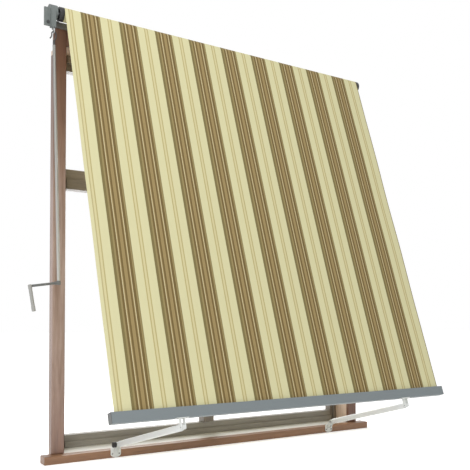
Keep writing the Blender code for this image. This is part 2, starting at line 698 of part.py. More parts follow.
def make_clips():
    pin = (-PIN_FORWARD, -PIN_DROP)
    for side, (_, clip_x, _) in SIDES.items():
        under = -BAR_HEIGHT - GAP
        front = -PIN_FORWARD - CLIP_DEPTH / 2
        base = box(f"{side}_clip", (clip_x - CLIP_LENGTH / 2, front, under - CLIP_THICK),
                   (clip_x + CLIP_LENGTH / 2, front + CLIP_DEPTH, under), "pale_metal", BAR)
        inside = BOSS_WIDTH / 2 + RUN
        for sign in (-1, 1):
            low, high = sorted((clip_x + sign * inside, clip_x + sign * (inside + CLIP_THICK)))
            root = under - CLIP_THICK / 2
            ear = [(front + EDGE, root)] + arc(pin, CLIP_EAR_RADIUS, 180, 360, 10) + [(front + CLIP_DEPTH - EDGE, root)]
            boolean(base, outline("ear", [ear], low, high, "X", parent=BAR), "UNION")
        reach = inside + CLIP_THICK + CUT
        boolean(base, cylinder("pin_bore", PIN_RADIUS + GAP, (clip_x - reach, *pin), (clip_x + reach, *pin),
                               parent=BAR, sides=16))
        head = inside + CLIP_THICK + OVERLAP
        cylinder(f"{side}_clip_pin", PIN_RADIUS, (clip_x - head, *pin), (clip_x + head, *pin), "zinc", BAR, sides=16)
        rest = under - CLIP_THICK - GAP
        for number, sign in ((1, -1), (2, 1)):
            x = clip_x + sign * CLIP_SCREW_SPREAD
            cylinder(f"{side}_clip_screw_{number}", SCREW_HEAD, (x, -PIN_FORWARD, rest),
                     (x, -PIN_FORWARD, rest - SCREW_HEAD_HEIGHT * 1.5), "dark_steel", BAR, sides=12)


# Arms, each modelled straight out along -Y under an empty on its sill pivot

def bar_to_world(y, z):
    """Where a point of the upright front bar stands once the bar hangs along the cloth."""
    lean = Matrix.Rotation(-FABRIC_LEAN, 3, "X")
    return lean @ Vector((0, y, z)) + Vector((0, HEM_Y, HEM_Z))


def knuckle(name, centre, radius, bore, arm, near, far, material):
    """A boss round a pivot with a neck that plugs into the arm's tube."""
    x, y, z = centre
    half = BOSS_WIDTH / 2
    boss = outline(name, [circle((y, z), radius), circle((y, z), bore)], x - half, x + half, "X", material)
    plug_half = TUBE_BREADTH / 2 - ARM_WALL - GAP
    plug_rise = TUBE_HEIGHT / 2 - ARM_WALL - GAP
    low, high = sorted((near, far))
    section = rounded(plug_half, plug_rise, ARM_CORNER - ARM_WALL - GAP, 5)
    neck = outline(f"{name}_neck", [section], low, high, "Y", parent=arm)
    boolean(boss, neck, "UNION")
    hole = cylinder(f"{name}_bore", bore, (x - half - CUT, y, z), (x + half + CUT, y, z))
    boolean(boss, hole)
    return boss


def make_arms():
    pin = bar_to_world(-PIN_FORWARD, -PIN_DROP)
    for side, (foot_x, clip_x, _) in SIDES.items():
        run = Vector((clip_x - foot_x, pin.y - PIVOT_Y, pin.z - PIVOT_Z))
        pitch = math.atan2(run.z, -run.y)
        toe = math.atan2(run.x, math.hypot(run.y, run.z))
        arm = add_empty(f"{side}_arm_axis", (foot_x, PIVOT_Y, PIVOT_Z), (-pitch, 0, toe), "ZYX")
        length = run.length
        half_w, half_h = TUBE_BREADTH / 2, TUBE_HEIGHT / 2
        start, end = -NECK_START, -(length - NECK_START)
        corners = rounded(half_w, half_h, ARM_CORNER, 5)
        room = rounded(half_w - ARM_WALL, half_h - ARM_WALL, ARM_CORNER - ARM_WALL, 5)
        outline(f"{side}_arm", [corners, room], end, start, "Y", "pale_metal", arm)
        knuckle(f"{side}_arm_foot", (foot_x, PIVOT_Y, PIVOT_Z), BOSS_RADIUS, BOLT_RADIUS + GAP, arm,
                -BOLT_RADIUS * 1.5, -NECK_START - NECK_LENGTH, "pale_metal")
        knuckle(f"{side}_arm_tip", (clip_x, pin.y, pin.z), TIP_RADIUS, PIN_RADIUS + GAP, arm,
                -length + PIN_RADIUS * 1.5, -length + NECK_START + NECK_LENGTH, "pale_metal")


def rounded(half_u, half_v, radius, steps):
    points = []
    for quarter, (su, sv) in enumerate(((1, 1), (-1, 1), (-1, -1), (1, -1))):
        centre = (su * (half_u - radius), sv * (half_v - radius))
        points += arc(centre, radius, quarter * 90, quarter * 90 + 90, steps)
    return points


# Sill brackets with their bolts and round knobs

def make_sill_brackets():
    pivot = (PIVOT_Y, PIVOT_Z)
    for side, (x, _, outward) in SIDES.items():
        seat = -SILL_NOSE - GAP
        half = SHIELD_WIDTH / 2
        flat = SHIELD_BOTTOM + half * 0.55
        shield = [(-half, SHIELD_TOP), (-half, flat)] + [
            (half * math.cos(a), flat - (flat - SHIELD_BOTTOM) * math.sin(a))
            for a in (math.pi - math.pi * i / 12 for i in range(1, 12))] + [(half, flat), (half, SHIELD_TOP)]
        plate = outline(f"{side}_sill_bracket", [[(x + u, v) for u, v in shield]], seat - SHIELD_THICK, seat, "Y",
                        "pale_metal")
        inside = BOSS_WIDTH / 2 + RUN
        root = seat - SHIELD_THICK / 2
        for sign in (-1, 1):
            low, high = sorted((x + sign * inside, x + sign * (inside + EAR_THICK)))
            ear = [(root, SHIELD_TOP - EDGE)] + arc(pivot, EAR_RADIUS, 30, 250, 12) + [(root, SHIELD_BOTTOM + half * 0.5)]
            boolean(plate, outline("ear", [ear], low, high, "X"), "UNION")
        reach = inside + EAR_THICK
        boolean(plate, cylinder("bolt_bore", BOLT_RADIUS + GAP, (x - reach - CUT, *pivot), (x + reach + CUT, *pivot),
                                sides=20))
        knob_in = x + outward * (reach + GAP)
        knob_out = knob_in + outward * KNOB_THICK
        bolt_end = knob_in + outward * KNOB_THICK / 2
        head_in = x - outward * (reach + GAP)
        head_out = head_in - outward * BOLT_HEAD_HEIGHT
        bolt = cylinder(f"{side}_pivot_bolt", BOLT_HEAD, (head_out, *pivot), (head_in, *pivot), "zinc", sides=6)
        boolean(bolt, cylinder("shank", BOLT_RADIUS, (head_out - outward * -OVERLAP, *pivot), (bolt_end, *pivot),
                               sides=20), "UNION")
        knob = cylinder(f"{side}_knob", KNOB_RADIUS, (knob_in, *pivot), (knob_out, *pivot), "black_plastic", sides=20)
        boolean(knob, cylinder("knob_bore", BOLT_RADIUS + GAP, (knob_in - outward * CUT, *pivot),
                               (bolt_end + outward * GAP, *pivot), sides=20))
        face = seat - SHIELD_THICK
        for sign in (-1, 1):
            u = x + sign * half * 0.68
            z = flat + EDGE
            head = cylinder(f"{side}_sill_screw", SCREW_HEAD, (u, face + SHIELD_THICK / 2, z),
                            (u, face - SCREW_HEAD_HEIGHT, z), sides=12)
            boolean(plate, head, "UNION")


# Fabric

def make_fabric():
    """The taut sheet, flat from the roll to just above the hem rod inside the bar's slot."""
    reach = SLOT_DEPTH + KEDER_RADIUS * 0.9 - HEM_ROD_RADIUS - GAP
    half = FABRIC_THICK / 2
    start = FABRIC_LENGTH - GAP
    stripe(outline("fabric", [rectangle(-half, -reach, half, start)], -HALF_FABRIC, HALF_FABRIC, "X",
                   "cream_fabric", BAR))


CRANK = add_empty("crank_axis", (CRANK_X, *HOOK_TOP), (-CRANK_TILT, 0, 0))
BAR = add_empty("bar_axis", (0, HEM_Y, HEM_Z), (-FABRIC_LEAN, 0, 0))

make_sill()
make_face_boards()
make_linings()
make_window()
make_head_bar()
make_brackets()
make_roller()
make_fabric_roll()
make_winch()
make_worm_gear()
make_crank()
make_front_bar()
make_clips()
make_arms()
make_sill_brackets()
make_fabric()
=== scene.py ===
# %% [markdown]
# # Striped drop-arm awning on its window frame
# The measured model of the awning comes in first, one object for each piece of wood, metal and cloth.
# Nothing of it is moved here. The cloth, the roll, the knobs and the grip are made again in more detail.

# %% Load the measured pieces
import math

import bpy
from mathutils import Matrix, Vector


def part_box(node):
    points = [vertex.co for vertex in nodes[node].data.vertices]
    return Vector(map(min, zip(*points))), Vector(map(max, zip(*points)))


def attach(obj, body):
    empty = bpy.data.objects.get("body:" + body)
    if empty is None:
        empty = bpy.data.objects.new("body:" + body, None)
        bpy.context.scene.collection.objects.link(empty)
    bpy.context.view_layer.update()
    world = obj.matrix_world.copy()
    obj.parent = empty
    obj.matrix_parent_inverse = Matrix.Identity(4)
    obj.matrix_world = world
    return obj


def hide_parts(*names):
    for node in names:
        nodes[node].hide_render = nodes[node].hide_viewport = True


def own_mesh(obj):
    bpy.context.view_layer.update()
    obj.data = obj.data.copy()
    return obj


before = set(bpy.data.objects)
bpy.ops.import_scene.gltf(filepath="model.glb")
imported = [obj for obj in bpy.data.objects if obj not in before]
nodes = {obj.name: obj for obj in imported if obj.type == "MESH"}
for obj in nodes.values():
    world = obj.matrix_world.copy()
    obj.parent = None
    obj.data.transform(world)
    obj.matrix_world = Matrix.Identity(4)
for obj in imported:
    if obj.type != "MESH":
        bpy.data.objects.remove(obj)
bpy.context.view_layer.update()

# %% [markdown]
# The awning was photographed from low down and to its left, with a normal lens.
# The vertical lines stay parallel because the camera looks level and the picture is shifted upwards instead.

# %% Camera
camera_data = bpy.data.cameras.new("camera")
camera_data.lens = 51.557
camera_data.sensor_width = 36
camera_data.shift_y = 0.1443
camera = bpy.data.objects.new("camera", camera_data)
bpy.context.scene.collection.objects.link(camera)
camera.location = (-2.0529, -3.3125, 0.7123)
camera.rotation_euler = (math.radians(91.367), 0, math.radians(-32.626))
bpy.context.scene.camera = camera
print("camera at", tuple(camera.location))

# %% [markdown]
# A white sky lights the awning evenly from all round, as a white studio tent would. It lights less than it
# shows, so that the ground is white and the cloth isn't washed out. One large lamp at the upper left adds a
# soft direction, so that the cloth is brighter at its top. A weak one low at the left reaches under the
# cloth, to the arms, and one behind the window falls on the sill.

# %% Light
SKY_LIGHT, SKY_SEEN = 0.62, 1.0


def seen_rays(tree):
    """A socket that is 1 where a thing is seen, also in a mirror, and 0 where it only lights others."""
    path = tree.nodes.new("ShaderNodeLightPath")
    seen = path.outputs["Is Camera Ray"]
    for kind in ("Is Glossy Ray", "Is Transmission Ray"):
        larger = tree.nodes.new("ShaderNodeMath")
        larger.operation = "MAXIMUM"
        tree.links.new(seen, larger.inputs[0])
        tree.links.new(path.outputs[kind], larger.inputs[1])
        seen = larger.outputs[0]
    return seen


scene = bpy.context.scene
scene.view_settings.view_transform = "Standard"
world = bpy.data.worlds.new("white_room")
scene.world = world
world.use_nodes = True
sky = world.node_tree
background = sky.nodes["Background"]
background.inputs["Color"].default_value = (1, 1, 1, 1)
strength = sky.nodes.new("ShaderNodeMapRange")
strength.inputs["To Min"].default_value = SKY_LIGHT
strength.inputs["To Max"].default_value = SKY_SEEN
sky.links.new(seen_rays(sky), strength.inputs["Value"])
sky.links.new(strength.outputs["Result"], background.inputs["Strength"])


def add_lamp(name, place, target, size, power):
    """A square soft lamp that faces a point."""
    lamp = bpy.data.lights.new(name, "AREA")
    lamp.size = size
    lamp.energy = power
    item = bpy.data.objects.new(name, lamp)
    bpy.context.scene.collection.objects.link(item)
    item.location = place
    item.rotation_euler = (Vector(target) - Vector(place)).to_track_quat("-Z", "Y").to_euler()
    return item


key = add_lamp("key_lamp", place=(-2.4, -2.8, 4.5), target=(0, -0.2, 1.3), size=2.0, power=80)
fill = add_lamp("low_fill_lamp", place=(-2.6, -1.9, 0.35), target=(0.2, -0.2, 0.3), size=1.0, power=9)
back = add_lamp("window_lamp", place=(0.3, 1.7, 1.6), target=(0.1, 0.1, 0.1), size=1.2, power=36)
for lamp in (key, fill, back):
    print("lamp:", lamp.name, lamp.data.energy)

# %% [markdown]
# The floor is a plain pale sheet far larger than the picture, so it has no edge in view and keeps the shadow.
# It glows where it is seen, so that it meets the white sky softly, and this glow lights nothing.

# %% Floor
FLOOR_SIZE, FLOOR_DROP, FLOOR_GLOW = 60, 0.0005, 0.5


def deselect_all():
    """Leaves edit mode and selects nothing, so that the next operator acts on its own piece only."""
    if bpy.context.object and bpy.context.object.mode != "OBJECT":
        bpy.ops.object.mode_set(mode="OBJECT")
    bpy.ops.object.select_all(action="DESELECT")


deselect_all()
bpy.ops.mesh.primitive_plane_add(size=FLOOR_SIZE, location=(0, 0, -FLOOR_DROP))
floor = bpy.context.object
floor.name = "floor"
floor_paint = bpy.data.materials.new("floor_white")
floor_paint.use_nodes = True
floor_shader = floor_paint.node_tree.nodes["Principled BSDF"]
floor_shader.inputs["Base Color"].default_value = (0.9, 0.9, 0.9, 1)
floor_shader.inputs["Roughness"].default_value = 1.0
floor_shader.inputs["Specular IOR Level"].default_value = 0.0
floor_shader.inputs["Emission Color"].default_value = (1, 1, 1, 1)
floor_tree = floor_paint.node_tree
floor_glow = floor_tree.nodes.new("ShaderNodeMath")
floor_glow.operation = "MULTIPLY"
floor_glow.inputs[1].default_value = FLOOR_GLOW
floor_tree.links.new(seen_rays(floor_tree), floor_glow.inputs[0])
floor_tree.links.new(floor_glow.outputs[0], floor_shader.inputs["Emission Strength"])
floor.data.materials.append(floor_paint)
print("floor:", tuple(floor.dimensions))

# %% [markdown]
# Materials share a few effects. Each effect is a node group: a small graph with named sockets that many
# materials can place. These helpers add and connect the nodes of such a graph.

# %% Node group helpers


def new_group(name, inputs, outputs):
    """A shader node group with its input and output sockets, and the nodes that stand for them."""
    group = bpy.data.node_groups.new(name, "ShaderNodeTree")
    for label, kind, value in inputs:
        socket = group.interface.new_socket(label, in_out="INPUT", socket_type=kind)
        if value is not None:
            socket.default_value = value
    for label, kind in outputs:
        group.interface.new_socket(label, in_out="OUTPUT", socket_type=kind)
    return group, group.nodes.new("NodeGroupInput"), group.nodes.new("NodeGroupOutput")


def math_node(tree, operation, first, second=None, clamp=False):
    """A Math node fed by a socket and by a second socket or a number."""
    node = tree.nodes.new("ShaderNodeMath")
    node.operation = operation
    node.use_clamp = clamp
    for slot_number, value in ((0, first), (1, second)):
        if value is None:
            continue
        if isinstance(value, (int, float)):
            node.inputs[slot_number].default_value = value
        else:
            tree.links.new(value, node.inputs[slot_number])
    return node.outputs[0]


def mix_colour(tree, factor, first, second, blend="MIX"):
    """A Mix node for two colours, its sockets 6 and 7. Each value may be a socket or plain numbers."""
    node = tree.nodes.new("ShaderNodeMix")
    node.data_type = "RGBA"
    node.blend_type = blend
    for slot_number, value in ((0, factor), (6, first), (7, second)):
        if isinstance(value, (int, float, tuple)):
            node.inputs[slot_number].default_value = value
        else:
            tree.links.new(value, node.inputs[slot_number])
    return node.outputs[2]


def noise_node(tree, vector, scale, detail, roughness):
    """The value of a Noise Texture at a place."""
    node = tree.nodes.new("ShaderNodeTexNoise")
    node.inputs["Scale"].default_value = scale
    node.inputs["Detail"].default_value = detail
    node.inputs["Roughness"].default_value = roughness
    tree.links.new(vector, node.inputs["Vector"])
    return node.outputs["Fac"]


def ramp_node(tree, factor, stops, interpolation="LINEAR"):
    """A Color Ramp whose stops are (place, colour). Places are set first, because they sort the stops."""
    node = tree.nodes.new("ShaderNodeValToRGB")
    ramp = node.color_ramp
    ramp.interpolation = interpolation
    while len(ramp.elements) < len(stops):
        ramp.elements.new(1.0)
    for element, stop in zip(ramp.elements, stops):
        element.position = stop[0]
    for element, stop in zip(ramp.elements, stops):
        element.color = stop[1]
    tree.links.new(factor, node.inputs["Fac"])
    return node.outputs["Color"]


print("helpers ready")

# %% [markdown]
# Wood grain is noise at three scales: streaks, fine dark pores, and wide clouds where the stain has faded.
# Each board stretches it along its length later on. The Wear socket sets how much fading shows.

# %% Wood grain group
wood_grain, grain_in, grain_out = new_group(
    "wood_grain",
    [("Vector", "NodeSocketVector", None), ("Light", "NodeSocketColor", (0.3, 0.18, 0.12, 1)),
     ("Dark", "NodeSocketColor", (0.2, 0.11, 0.07, 1)), ("Wear", "NodeSocketFloat", 0.3)],
    [("Color", "NodeSocketColor"), ("Roughness", "NodeSocketFloat"), ("Height", "NodeSocketFloat")])
streaks = noise_node(wood_grain, grain_in.outputs["Vector"], scale=18.0, detail=6.0, roughness=0.65)
pores = noise_node(wood_grain, grain_in.outputs["Vector"], scale=90.0, detail=4.0, roughness=0.7)
clouds = noise_node(wood_grain, grain_in.outputs["Vector"], scale=2.2, detail=2.0, roughness=0.5)
streak_mask = ramp_node(wood_grain, streaks, [(0.32, (0, 0, 0, 1)), (0.68, (1, 1, 1, 1))])
boards = mix_colour(wood_grain, streak_mask, grain_in.outputs["Dark"], grain_in.outputs["Light"])
pore_mask = ramp_node(wood_grain, pores, [(0.30, (0.72, 0.72, 0.72, 1)), (0.48, (1, 1, 1, 1))])
grained = mix_colour(wood_grain, 1.0, boards, pore_mask, "MULTIPLY")
faded = mix_colour(wood_grain, 0.5, grained, (0.5, 0.42, 0.36, 1))
fade_mask = math_node(wood_grain, "MULTIPLY", clouds, grain_in.outputs["Wear"], clamp=True)
wood_grain.links.new(mix_colour(wood_grain, fade_mask, grained, faded), grain_out.inputs["Color"])
rough_wood = math_node(wood_grain, "MULTIPLY_ADD", clouds, 0.25)
rough_wood.node.inputs[2].default_value = 0.26
wood_grain.links.new(rough_wood, grain_out.inputs["Roughness"])
wood_grain.links.new(math_node(wood_grain, "ADD", streaks, pores), grain_out.inputs["Height"])
print("group:", wood_grain.name, len(wood_grain.nodes), "nodes")

# %% [markdown]
# Coated aluminium is an even grey. What breaks it up is fine: lines along its length from the die, thin pale
# scuffs where things rubbed on it, and a film of dust that lies in patches. Noise at three scales makes them.

# %% Metal group
metal_skin, skin_in, skin_out = new_group(
    "metal_skin",
    [("Vector", "NodeSocketVector", None), ("Base", "NodeSocketColor", (0.3, 0.35, 0.36, 1)),
     ("Dust", "NodeSocketFloat", 0.2), ("Scuff", "NodeSocketFloat", 0.3),
     ("Rough", "NodeSocketFloat", 0.4)],
    [("Color", "NodeSocketColor"), ("Roughness", "NodeSocketFloat"), ("Height", "NodeSocketFloat")])
die_lines = noise_node(metal_skin, skin_in.outputs["Vector"], scale=160.0, detail=2.0, roughness=0.6)
patches = noise_node(metal_skin, skin_in.outputs["Vector"], scale=3.0, detail=4.0, roughness=0.6)
rubs = noise_node(metal_skin, skin_in.outputs["Vector"], scale=38.0, detail=6.0, roughness=0.78)
scuff_mask = ramp_node(metal_skin, rubs, [(0.60, (0, 0, 0, 1)), (0.70, (1, 1, 1, 1))])
scuff_share = math_node(metal_skin, "MULTIPLY", scuff_mask, skin_in.outputs["Scuff"], clamp=True)
dusty = mix_colour(metal_skin, 0.35, skin_in.outputs["Base"], (0.55, 0.53, 0.48, 1))
dust_share = math_node(metal_skin, "MULTIPLY", patches, skin_in.outputs["Dust"], clamp=True)
dusted = mix_colour(metal_skin, dust_share, skin_in.outputs["Base"], dusty)
worn = mix_colour(metal_skin, 0.3, dusted, (0.72, 0.74, 0.74, 1))
metal_skin.links.new(mix_colour(metal_skin, scuff_share, dusted, worn), skin_out.inputs["Color"])
rough_metal = math_node(metal_skin, "MULTIPLY_ADD", patches, 0.18)
metal_skin.links.new(skin_in.outputs["Rough"], rough_metal.node.inputs[2])
metal_skin.links.new(rough_metal, skin_out.inputs["Roughness"])
metal_skin.links.new(die_lines, skin_out.inputs["Height"])
print("group:", metal_skin.name, len(metal_skin.nodes), "nodes")

# %% [markdown]
# Awning acrylic is woven from dyed yarn, so its stripes run the whole length of the cloth.
# One repeat is a cream band with a yellow stripe between two gold ones, then thirteen narrow brown stripes.
# The group takes the distance from the left edge in metres and finds the colour of the yarn there.

# %% Stripe group
STRIPE_PITCH = 0.2072
CREAM = (0.755, 0.715, 0.425, 1)
YELLOW = (0.72, 0.655, 0.365, 1)
GOLD = (0.55, 0.465, 0.215, 1)
OLIVE = (0.235, 0.188, 0.075, 1)
KHAKI = (0.350, 0.275, 0.120, 1)
UMBER = (0.195, 0.136, 0.050, 1)
TAN = (0.380, 0.280, 0.122, 1)
PIN = (0.68, 0.58, 0.34, 1)
YARNS = [(0.0, CREAM), (0.078, GOLD), (0.102, YELLOW), (0.156, GOLD), (0.180, CREAM), (0.386, OLIVE),
         (0.449, KHAKI), (0.492, UMBER), (0.541, PIN), (0.560, TAN), (0.580, UMBER), (0.622, TAN),
         (0.702, UMBER), (0.742, TAN), (0.756, PIN), (0.775, UMBER), (0.833, KHAKI), (0.868, OLIVE),
         (0.882, CREAM)]
cloth_stripes, cloth_in, cloth_out = new_group(
    "cloth_stripes", [("Across", "NodeSocketFloat", 0.0)], [("Color", "NodeSocketColor")])
repeats = math_node(cloth_stripes, "DIVIDE", cloth_in.outputs["Across"], STRIPE_PITCH)
share = math_node(cloth_stripes, "FRACT", repeats)
cloth_stripes.links.new(ramp_node(cloth_stripes, share, YARNS, "CONSTANT"), cloth_out.inputs["Color"])
print("stripes in one repeat:", len(YARNS))

# %% [markdown]
# Plain weave is a grid of small humps, one for each crossing of warp and weft, about 1.5 mm apart here.
# Two sine waves at right angles give the humps, and noise makes some yarns a little thicker.

# %% Weave group
YARN_PITCH = 0.0015
YARN_WAVE = 2 * math.pi / YARN_PITCH
weave, weave_in, weave_out = new_group(
    "plain_weave", [("Across", "NodeSocketFloat", 0.0), ("Along", "NodeSocketFloat", 0.0)],
    [("Height", "NodeSocketFloat")])
warp = math_node(weave, "SINE", math_node(weave, "MULTIPLY", weave_in.outputs["Across"], YARN_WAVE))
weft = math_node(weave, "SINE", math_node(weave, "MULTIPLY", weave_in.outputs["Along"], YARN_WAVE))
crossing = math_node(weave, "MULTIPLY", warp, weft)
yarn_place = weave.nodes.new("ShaderNodeCombineXYZ")
weave.links.new(math_node(weave, "MULTIPLY", weave_in.outputs["Across"], 9.0), yarn_place.inputs["X"])
weave.links.new(weave_in.outputs["Along"], yarn_place.inputs["Y"])
slubs = noise_node(weave, yarn_place.outputs["Vector"], scale=30.0, detail=4.0, roughness=0.6)
hump = math_node(weave, "MULTIPLY_ADD", crossing, 0.5)
hump.node.inputs[2].default_value = 0.5
weave.links.new(math_node(weave, "ADD", hump, slubs), weave_out.inputs["Height"])
print("group:", weave.name, len(weave.nodes), "nodes")

# %% [markdown]
# A painted reflection: the middle of a post's height is painted paler, as the glare of the white surroundings
# made it look, while its head and foot stay dark. The group turns the height above the sill into a mask, with
# noise so that the pale wash has no straight border.

# %% Painted reflection group
POST_HEIGHT = 2.2
post_reflection, reflection_in, reflection_out = new_group(
    "painted_post_reflection", [("Vector", "NodeSocketVector", None), ("Color", "NodeSocketColor", (0.3, 0.2, 0.1, 1)),
                   ("Pale", "NodeSocketColor", (0.40, 0.32, 0.28, 1)), ("Share", "NodeSocketFloat", 0.5)],
    [("Color", "NodeSocketColor")])
reflection_split = post_reflection.nodes.new("ShaderNodeSeparateXYZ")
post_reflection.links.new(reflection_in.outputs["Vector"], reflection_split.inputs["Vector"])
reflection_height = math_node(post_reflection, "DIVIDE", reflection_split.outputs["Z"], POST_HEIGHT)
reflection_drift = noise_node(post_reflection, reflection_in.outputs["Vector"], scale=1.7, detail=3.0, roughness=0.6)
reflection_place = math_node(post_reflection, "ADD", reflection_height, math_node(post_reflection, "MULTIPLY", reflection_drift, 0.12))
# Painted reflection: the ramp is pale at mid height and dark at the head and foot.
reflection_stops = [(0.05, 0.32), (0.26, 0.84), (0.50, 1.0), (0.68, 0.92), (0.84, 0.25), (0.97, 0.0)]
reflection_mask = ramp_node(post_reflection, reflection_place, [(place, (grey, grey, grey, 1)) for place, grey in reflection_stops])
reflection_share = math_node(post_reflection, "MULTIPLY", reflection_mask, reflection_in.outputs["Share"], clamp=True)
post_reflection.links.new(mix_colour(post_reflection, reflection_share, reflection_in.outputs["Color"], reflection_in.outputs["Pale"]),
                 reflection_out.inputs["Color"])
print("group:", post_reflection.name, len(post_reflection.nodes), "nodes")

# %% [markdown]
# Each finish of the object is one material. Boards get the grain turned along their length by a Mapping node,
# which squeezes the pattern's space along the board, so that round noise becomes long streaks.

# %% Material helpers


def new_material(name, **sockets):
    """A Principled material with plain values on its sockets. Words in the names are joined with _."""
    material = bpy.data.materials.new(name)
    material.use_nodes = True
    shader = material.node_tree.nodes["Principled BSDF"]
    for label, value in sockets.items():
        shader.inputs[label.replace("_", " ")].default_value = value
    return material, material.node_tree, shader


def object_place(tree, stretch):
    """Object coordinates in metres, squeezed along each axis to stretch a pattern."""
    place = tree.nodes.new("ShaderNodeTexCoord")
    mapping = tree.nodes.new("ShaderNodeMapping")
    mapping.inputs["Scale"].default_value = stretch
    tree.links.new(place.outputs["Object"], mapping.inputs["Vector"])
    return mapping.outputs["Vector"]


def add_bump(tree, shader, height, distance, amount):
    """A Bump node that turns a height into the small relief of a surface."""
    bump = tree.nodes.new("ShaderNodeBump")
    bump.inputs["Distance"].default_value = distance
    bump.inputs["Strength"].default_value = amount
    tree.links.new(height, bump.inputs["Height"])
    tree.links.new(bump.outputs["Normal"], shader.inputs["Normal"])


def place_group(tree, group, **values):
    """A group node in a material, with plain values on its named sockets."""
    node = tree.nodes.new("ShaderNodeGroup")
    node.node_tree = group
    for label, value in values.items():
        node.inputs[label].default_value = value
    return node


ALONG_X = (0.06, 1, 1)
ALONG_Y = (1, 0.06, 1)
ALONG_Z = (1, 1, 0.06)
EVENLY = (1, 1, 1)
print("material helpers ready")

# %% [markdown]
# The wood is stained and varnished. The varnish is a thin coat on the shader, so the grain shows below its
# gloss.

# %% Wood


def wood_material(name, light, dark, stretch, wear, coat):
    """A board's finish. It returns the material, its tree, its shader and its grain node."""
    material, tree, shader = new_material(name, Coat_Weight=coat, Coat_Roughness=0.22)
    grain = place_group(tree, wood_grain, Light=light, Dark=dark, Wear=wear)
    tree.links.new(object_place(tree, stretch), grain.inputs["Vector"])
    tree.links.new(grain.outputs["Color"], shader.inputs["Base Color"])
    tree.links.new(grain.outputs["Roughness"], shader.inputs["Roughness"])
    add_bump(tree, shader, grain.outputs["Height"], distance=0.0006, amount=0.35)
    return material, tree, shader, grain


RED_LIGHT, RED_DARK = (0.205, 0.085, 0.044, 1), (0.105, 0.040, 0.021, 1)
post_wood = wood_material("post_wood", RED_LIGHT, RED_DARK, ALONG_Z, wear=0.2, coat=0.12)[0]
head_wood = wood_material("head_wood", RED_LIGHT, RED_DARK, ALONG_X, wear=0.2, coat=0.12)[0]
LINING_LIGHT, LINING_DARK = (0.88, 0.68, 0.54, 1), (0.74, 0.55, 0.42, 1)
lining_wood = wood_material("lining_wood", LINING_LIGHT, LINING_DARK, ALONG_Z, wear=0.1, coat=0.12)[0]
lining_head = wood_material("lining_head_wood", LINING_LIGHT, LINING_DARK, ALONG_X, wear=0.1, coat=0.12)[0]
WINDOW_LIGHT, WINDOW_DARK = (0.195, 0.165, 0.128, 1), (0.115, 0.094, 0.072, 1)
stile_wood = wood_material("stile_wood", WINDOW_LIGHT, WINDOW_DARK, ALONG_Z, wear=0.4, coat=0.3)[0]
RAIL_LIGHT, RAIL_DARK = (0.31, 0.265, 0.215, 1), (0.165, 0.140, 0.112, 1)
rail_wood = wood_material("rail_wood", RAIL_LIGHT, RAIL_DARK, ALONG_X, wear=0.4, coat=0.2)[0]
LOW_LIGHT, LOW_DARK = (0.30, 0.29, 0.25, 1), (0.19, 0.175, 0.145, 1)
low_rail_wood = wood_material("low_rail_wood", LOW_LIGHT, LOW_DARK, ALONG_X, wear=0.4, coat=0.2)[0]
print("wood:", post_wood.name, head_wood.name, lining_wood.name, stile_wood.name, rail_wood.name)

# %% [markdown]
# The left post and the lining behind it stand in the open. Their middle is painted a pinkish grey between a
# dark head and foot, a painted reflection of the white surroundings. A streaky noise lets some of the red
# grain show through.

# %% Left post with painted reflection
left_post_wood, post_tree, post_shader, post_grain = wood_material(
    "left_post_wood", RED_LIGHT, RED_DARK, ALONG_Z, wear=0.2, coat=0.12)
# The left post's middle gets the painted reflection. The right post has none.
post_reflection_node = place_group(post_tree, post_reflection, Pale=(0.46, 0.345, 0.30, 1))
post_grain_place = object_place(post_tree, ALONG_Z)
post_streaks = noise_node(post_tree, post_grain_place, scale=45.0, detail=4.0, roughness=0.7)
streak_share = math_node(post_tree, "MULTIPLY_ADD", post_streaks, 2.0, clamp=True)
streak_share.node.inputs[2].default_value = -0.24
post_tree.links.new(streak_share, post_reflection_node.inputs["Share"])
post_tree.links.new(object_place(post_tree, EVENLY), post_reflection_node.inputs["Vector"])
post_tree.links.new(post_grain.outputs["Color"], post_reflection_node.inputs["Color"])
post_tree.links.new(post_reflection_node.outputs["Color"], post_shader.inputs["Base Color"])
print("painted_reflection:", left_post_wood.name)

# %% [markdown]
# The sill is brown at its front edge and horns. On top between the posts it is painted a pale grey, a painted
# reflection of the white surroundings on its varnish. Three comparisons cut out that field: behind the posts'
# front, near the top, and between the posts.

# %% Sill
HALF_OPENING = 0.947
REFLECTION_FRONT = 0.0005
REFLECTION_BAND = 0.0012
sill_wood, sill_tree, sill_shader, sill_grain = wood_material(
    "sill_wood", (0.325, 0.165, 0.080, 1), (0.210, 0.100, 0.047, 1), ALONG_X, wear=0.15, coat=0.12)
sill_place = sill_tree.nodes.new("ShaderNodeTexCoord")
sill_split = sill_tree.nodes.new("ShaderNodeSeparateXYZ")
sill_tree.links.new(sill_place.outputs["Object"], sill_split.inputs["Vector"])
# These comparisons mark the field of the painted reflection on the sill's top.
behind = math_node(sill_tree, "GREATER_THAN", sill_split.outputs["Y"], REFLECTION_FRONT)
on_top = math_node(sill_tree, "GREATER_THAN", sill_split.outputs["Z"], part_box("sill")[1].z - REFLECTION_BAND)
from_middle = math_node(sill_tree, "ABSOLUTE", sill_split.outputs["X"])
between = math_node(sill_tree, "LESS_THAN", from_middle, HALF_OPENING)
reflection_field = math_node(sill_tree, "MULTIPLY", math_node(sill_tree, "MULTIPLY", behind, on_top), between)
sill_reflection_place = object_place(sill_tree, ALONG_X)
streaked = noise_node(sill_tree, sill_reflection_place, scale=9.0, detail=4.0, roughness=0.6)
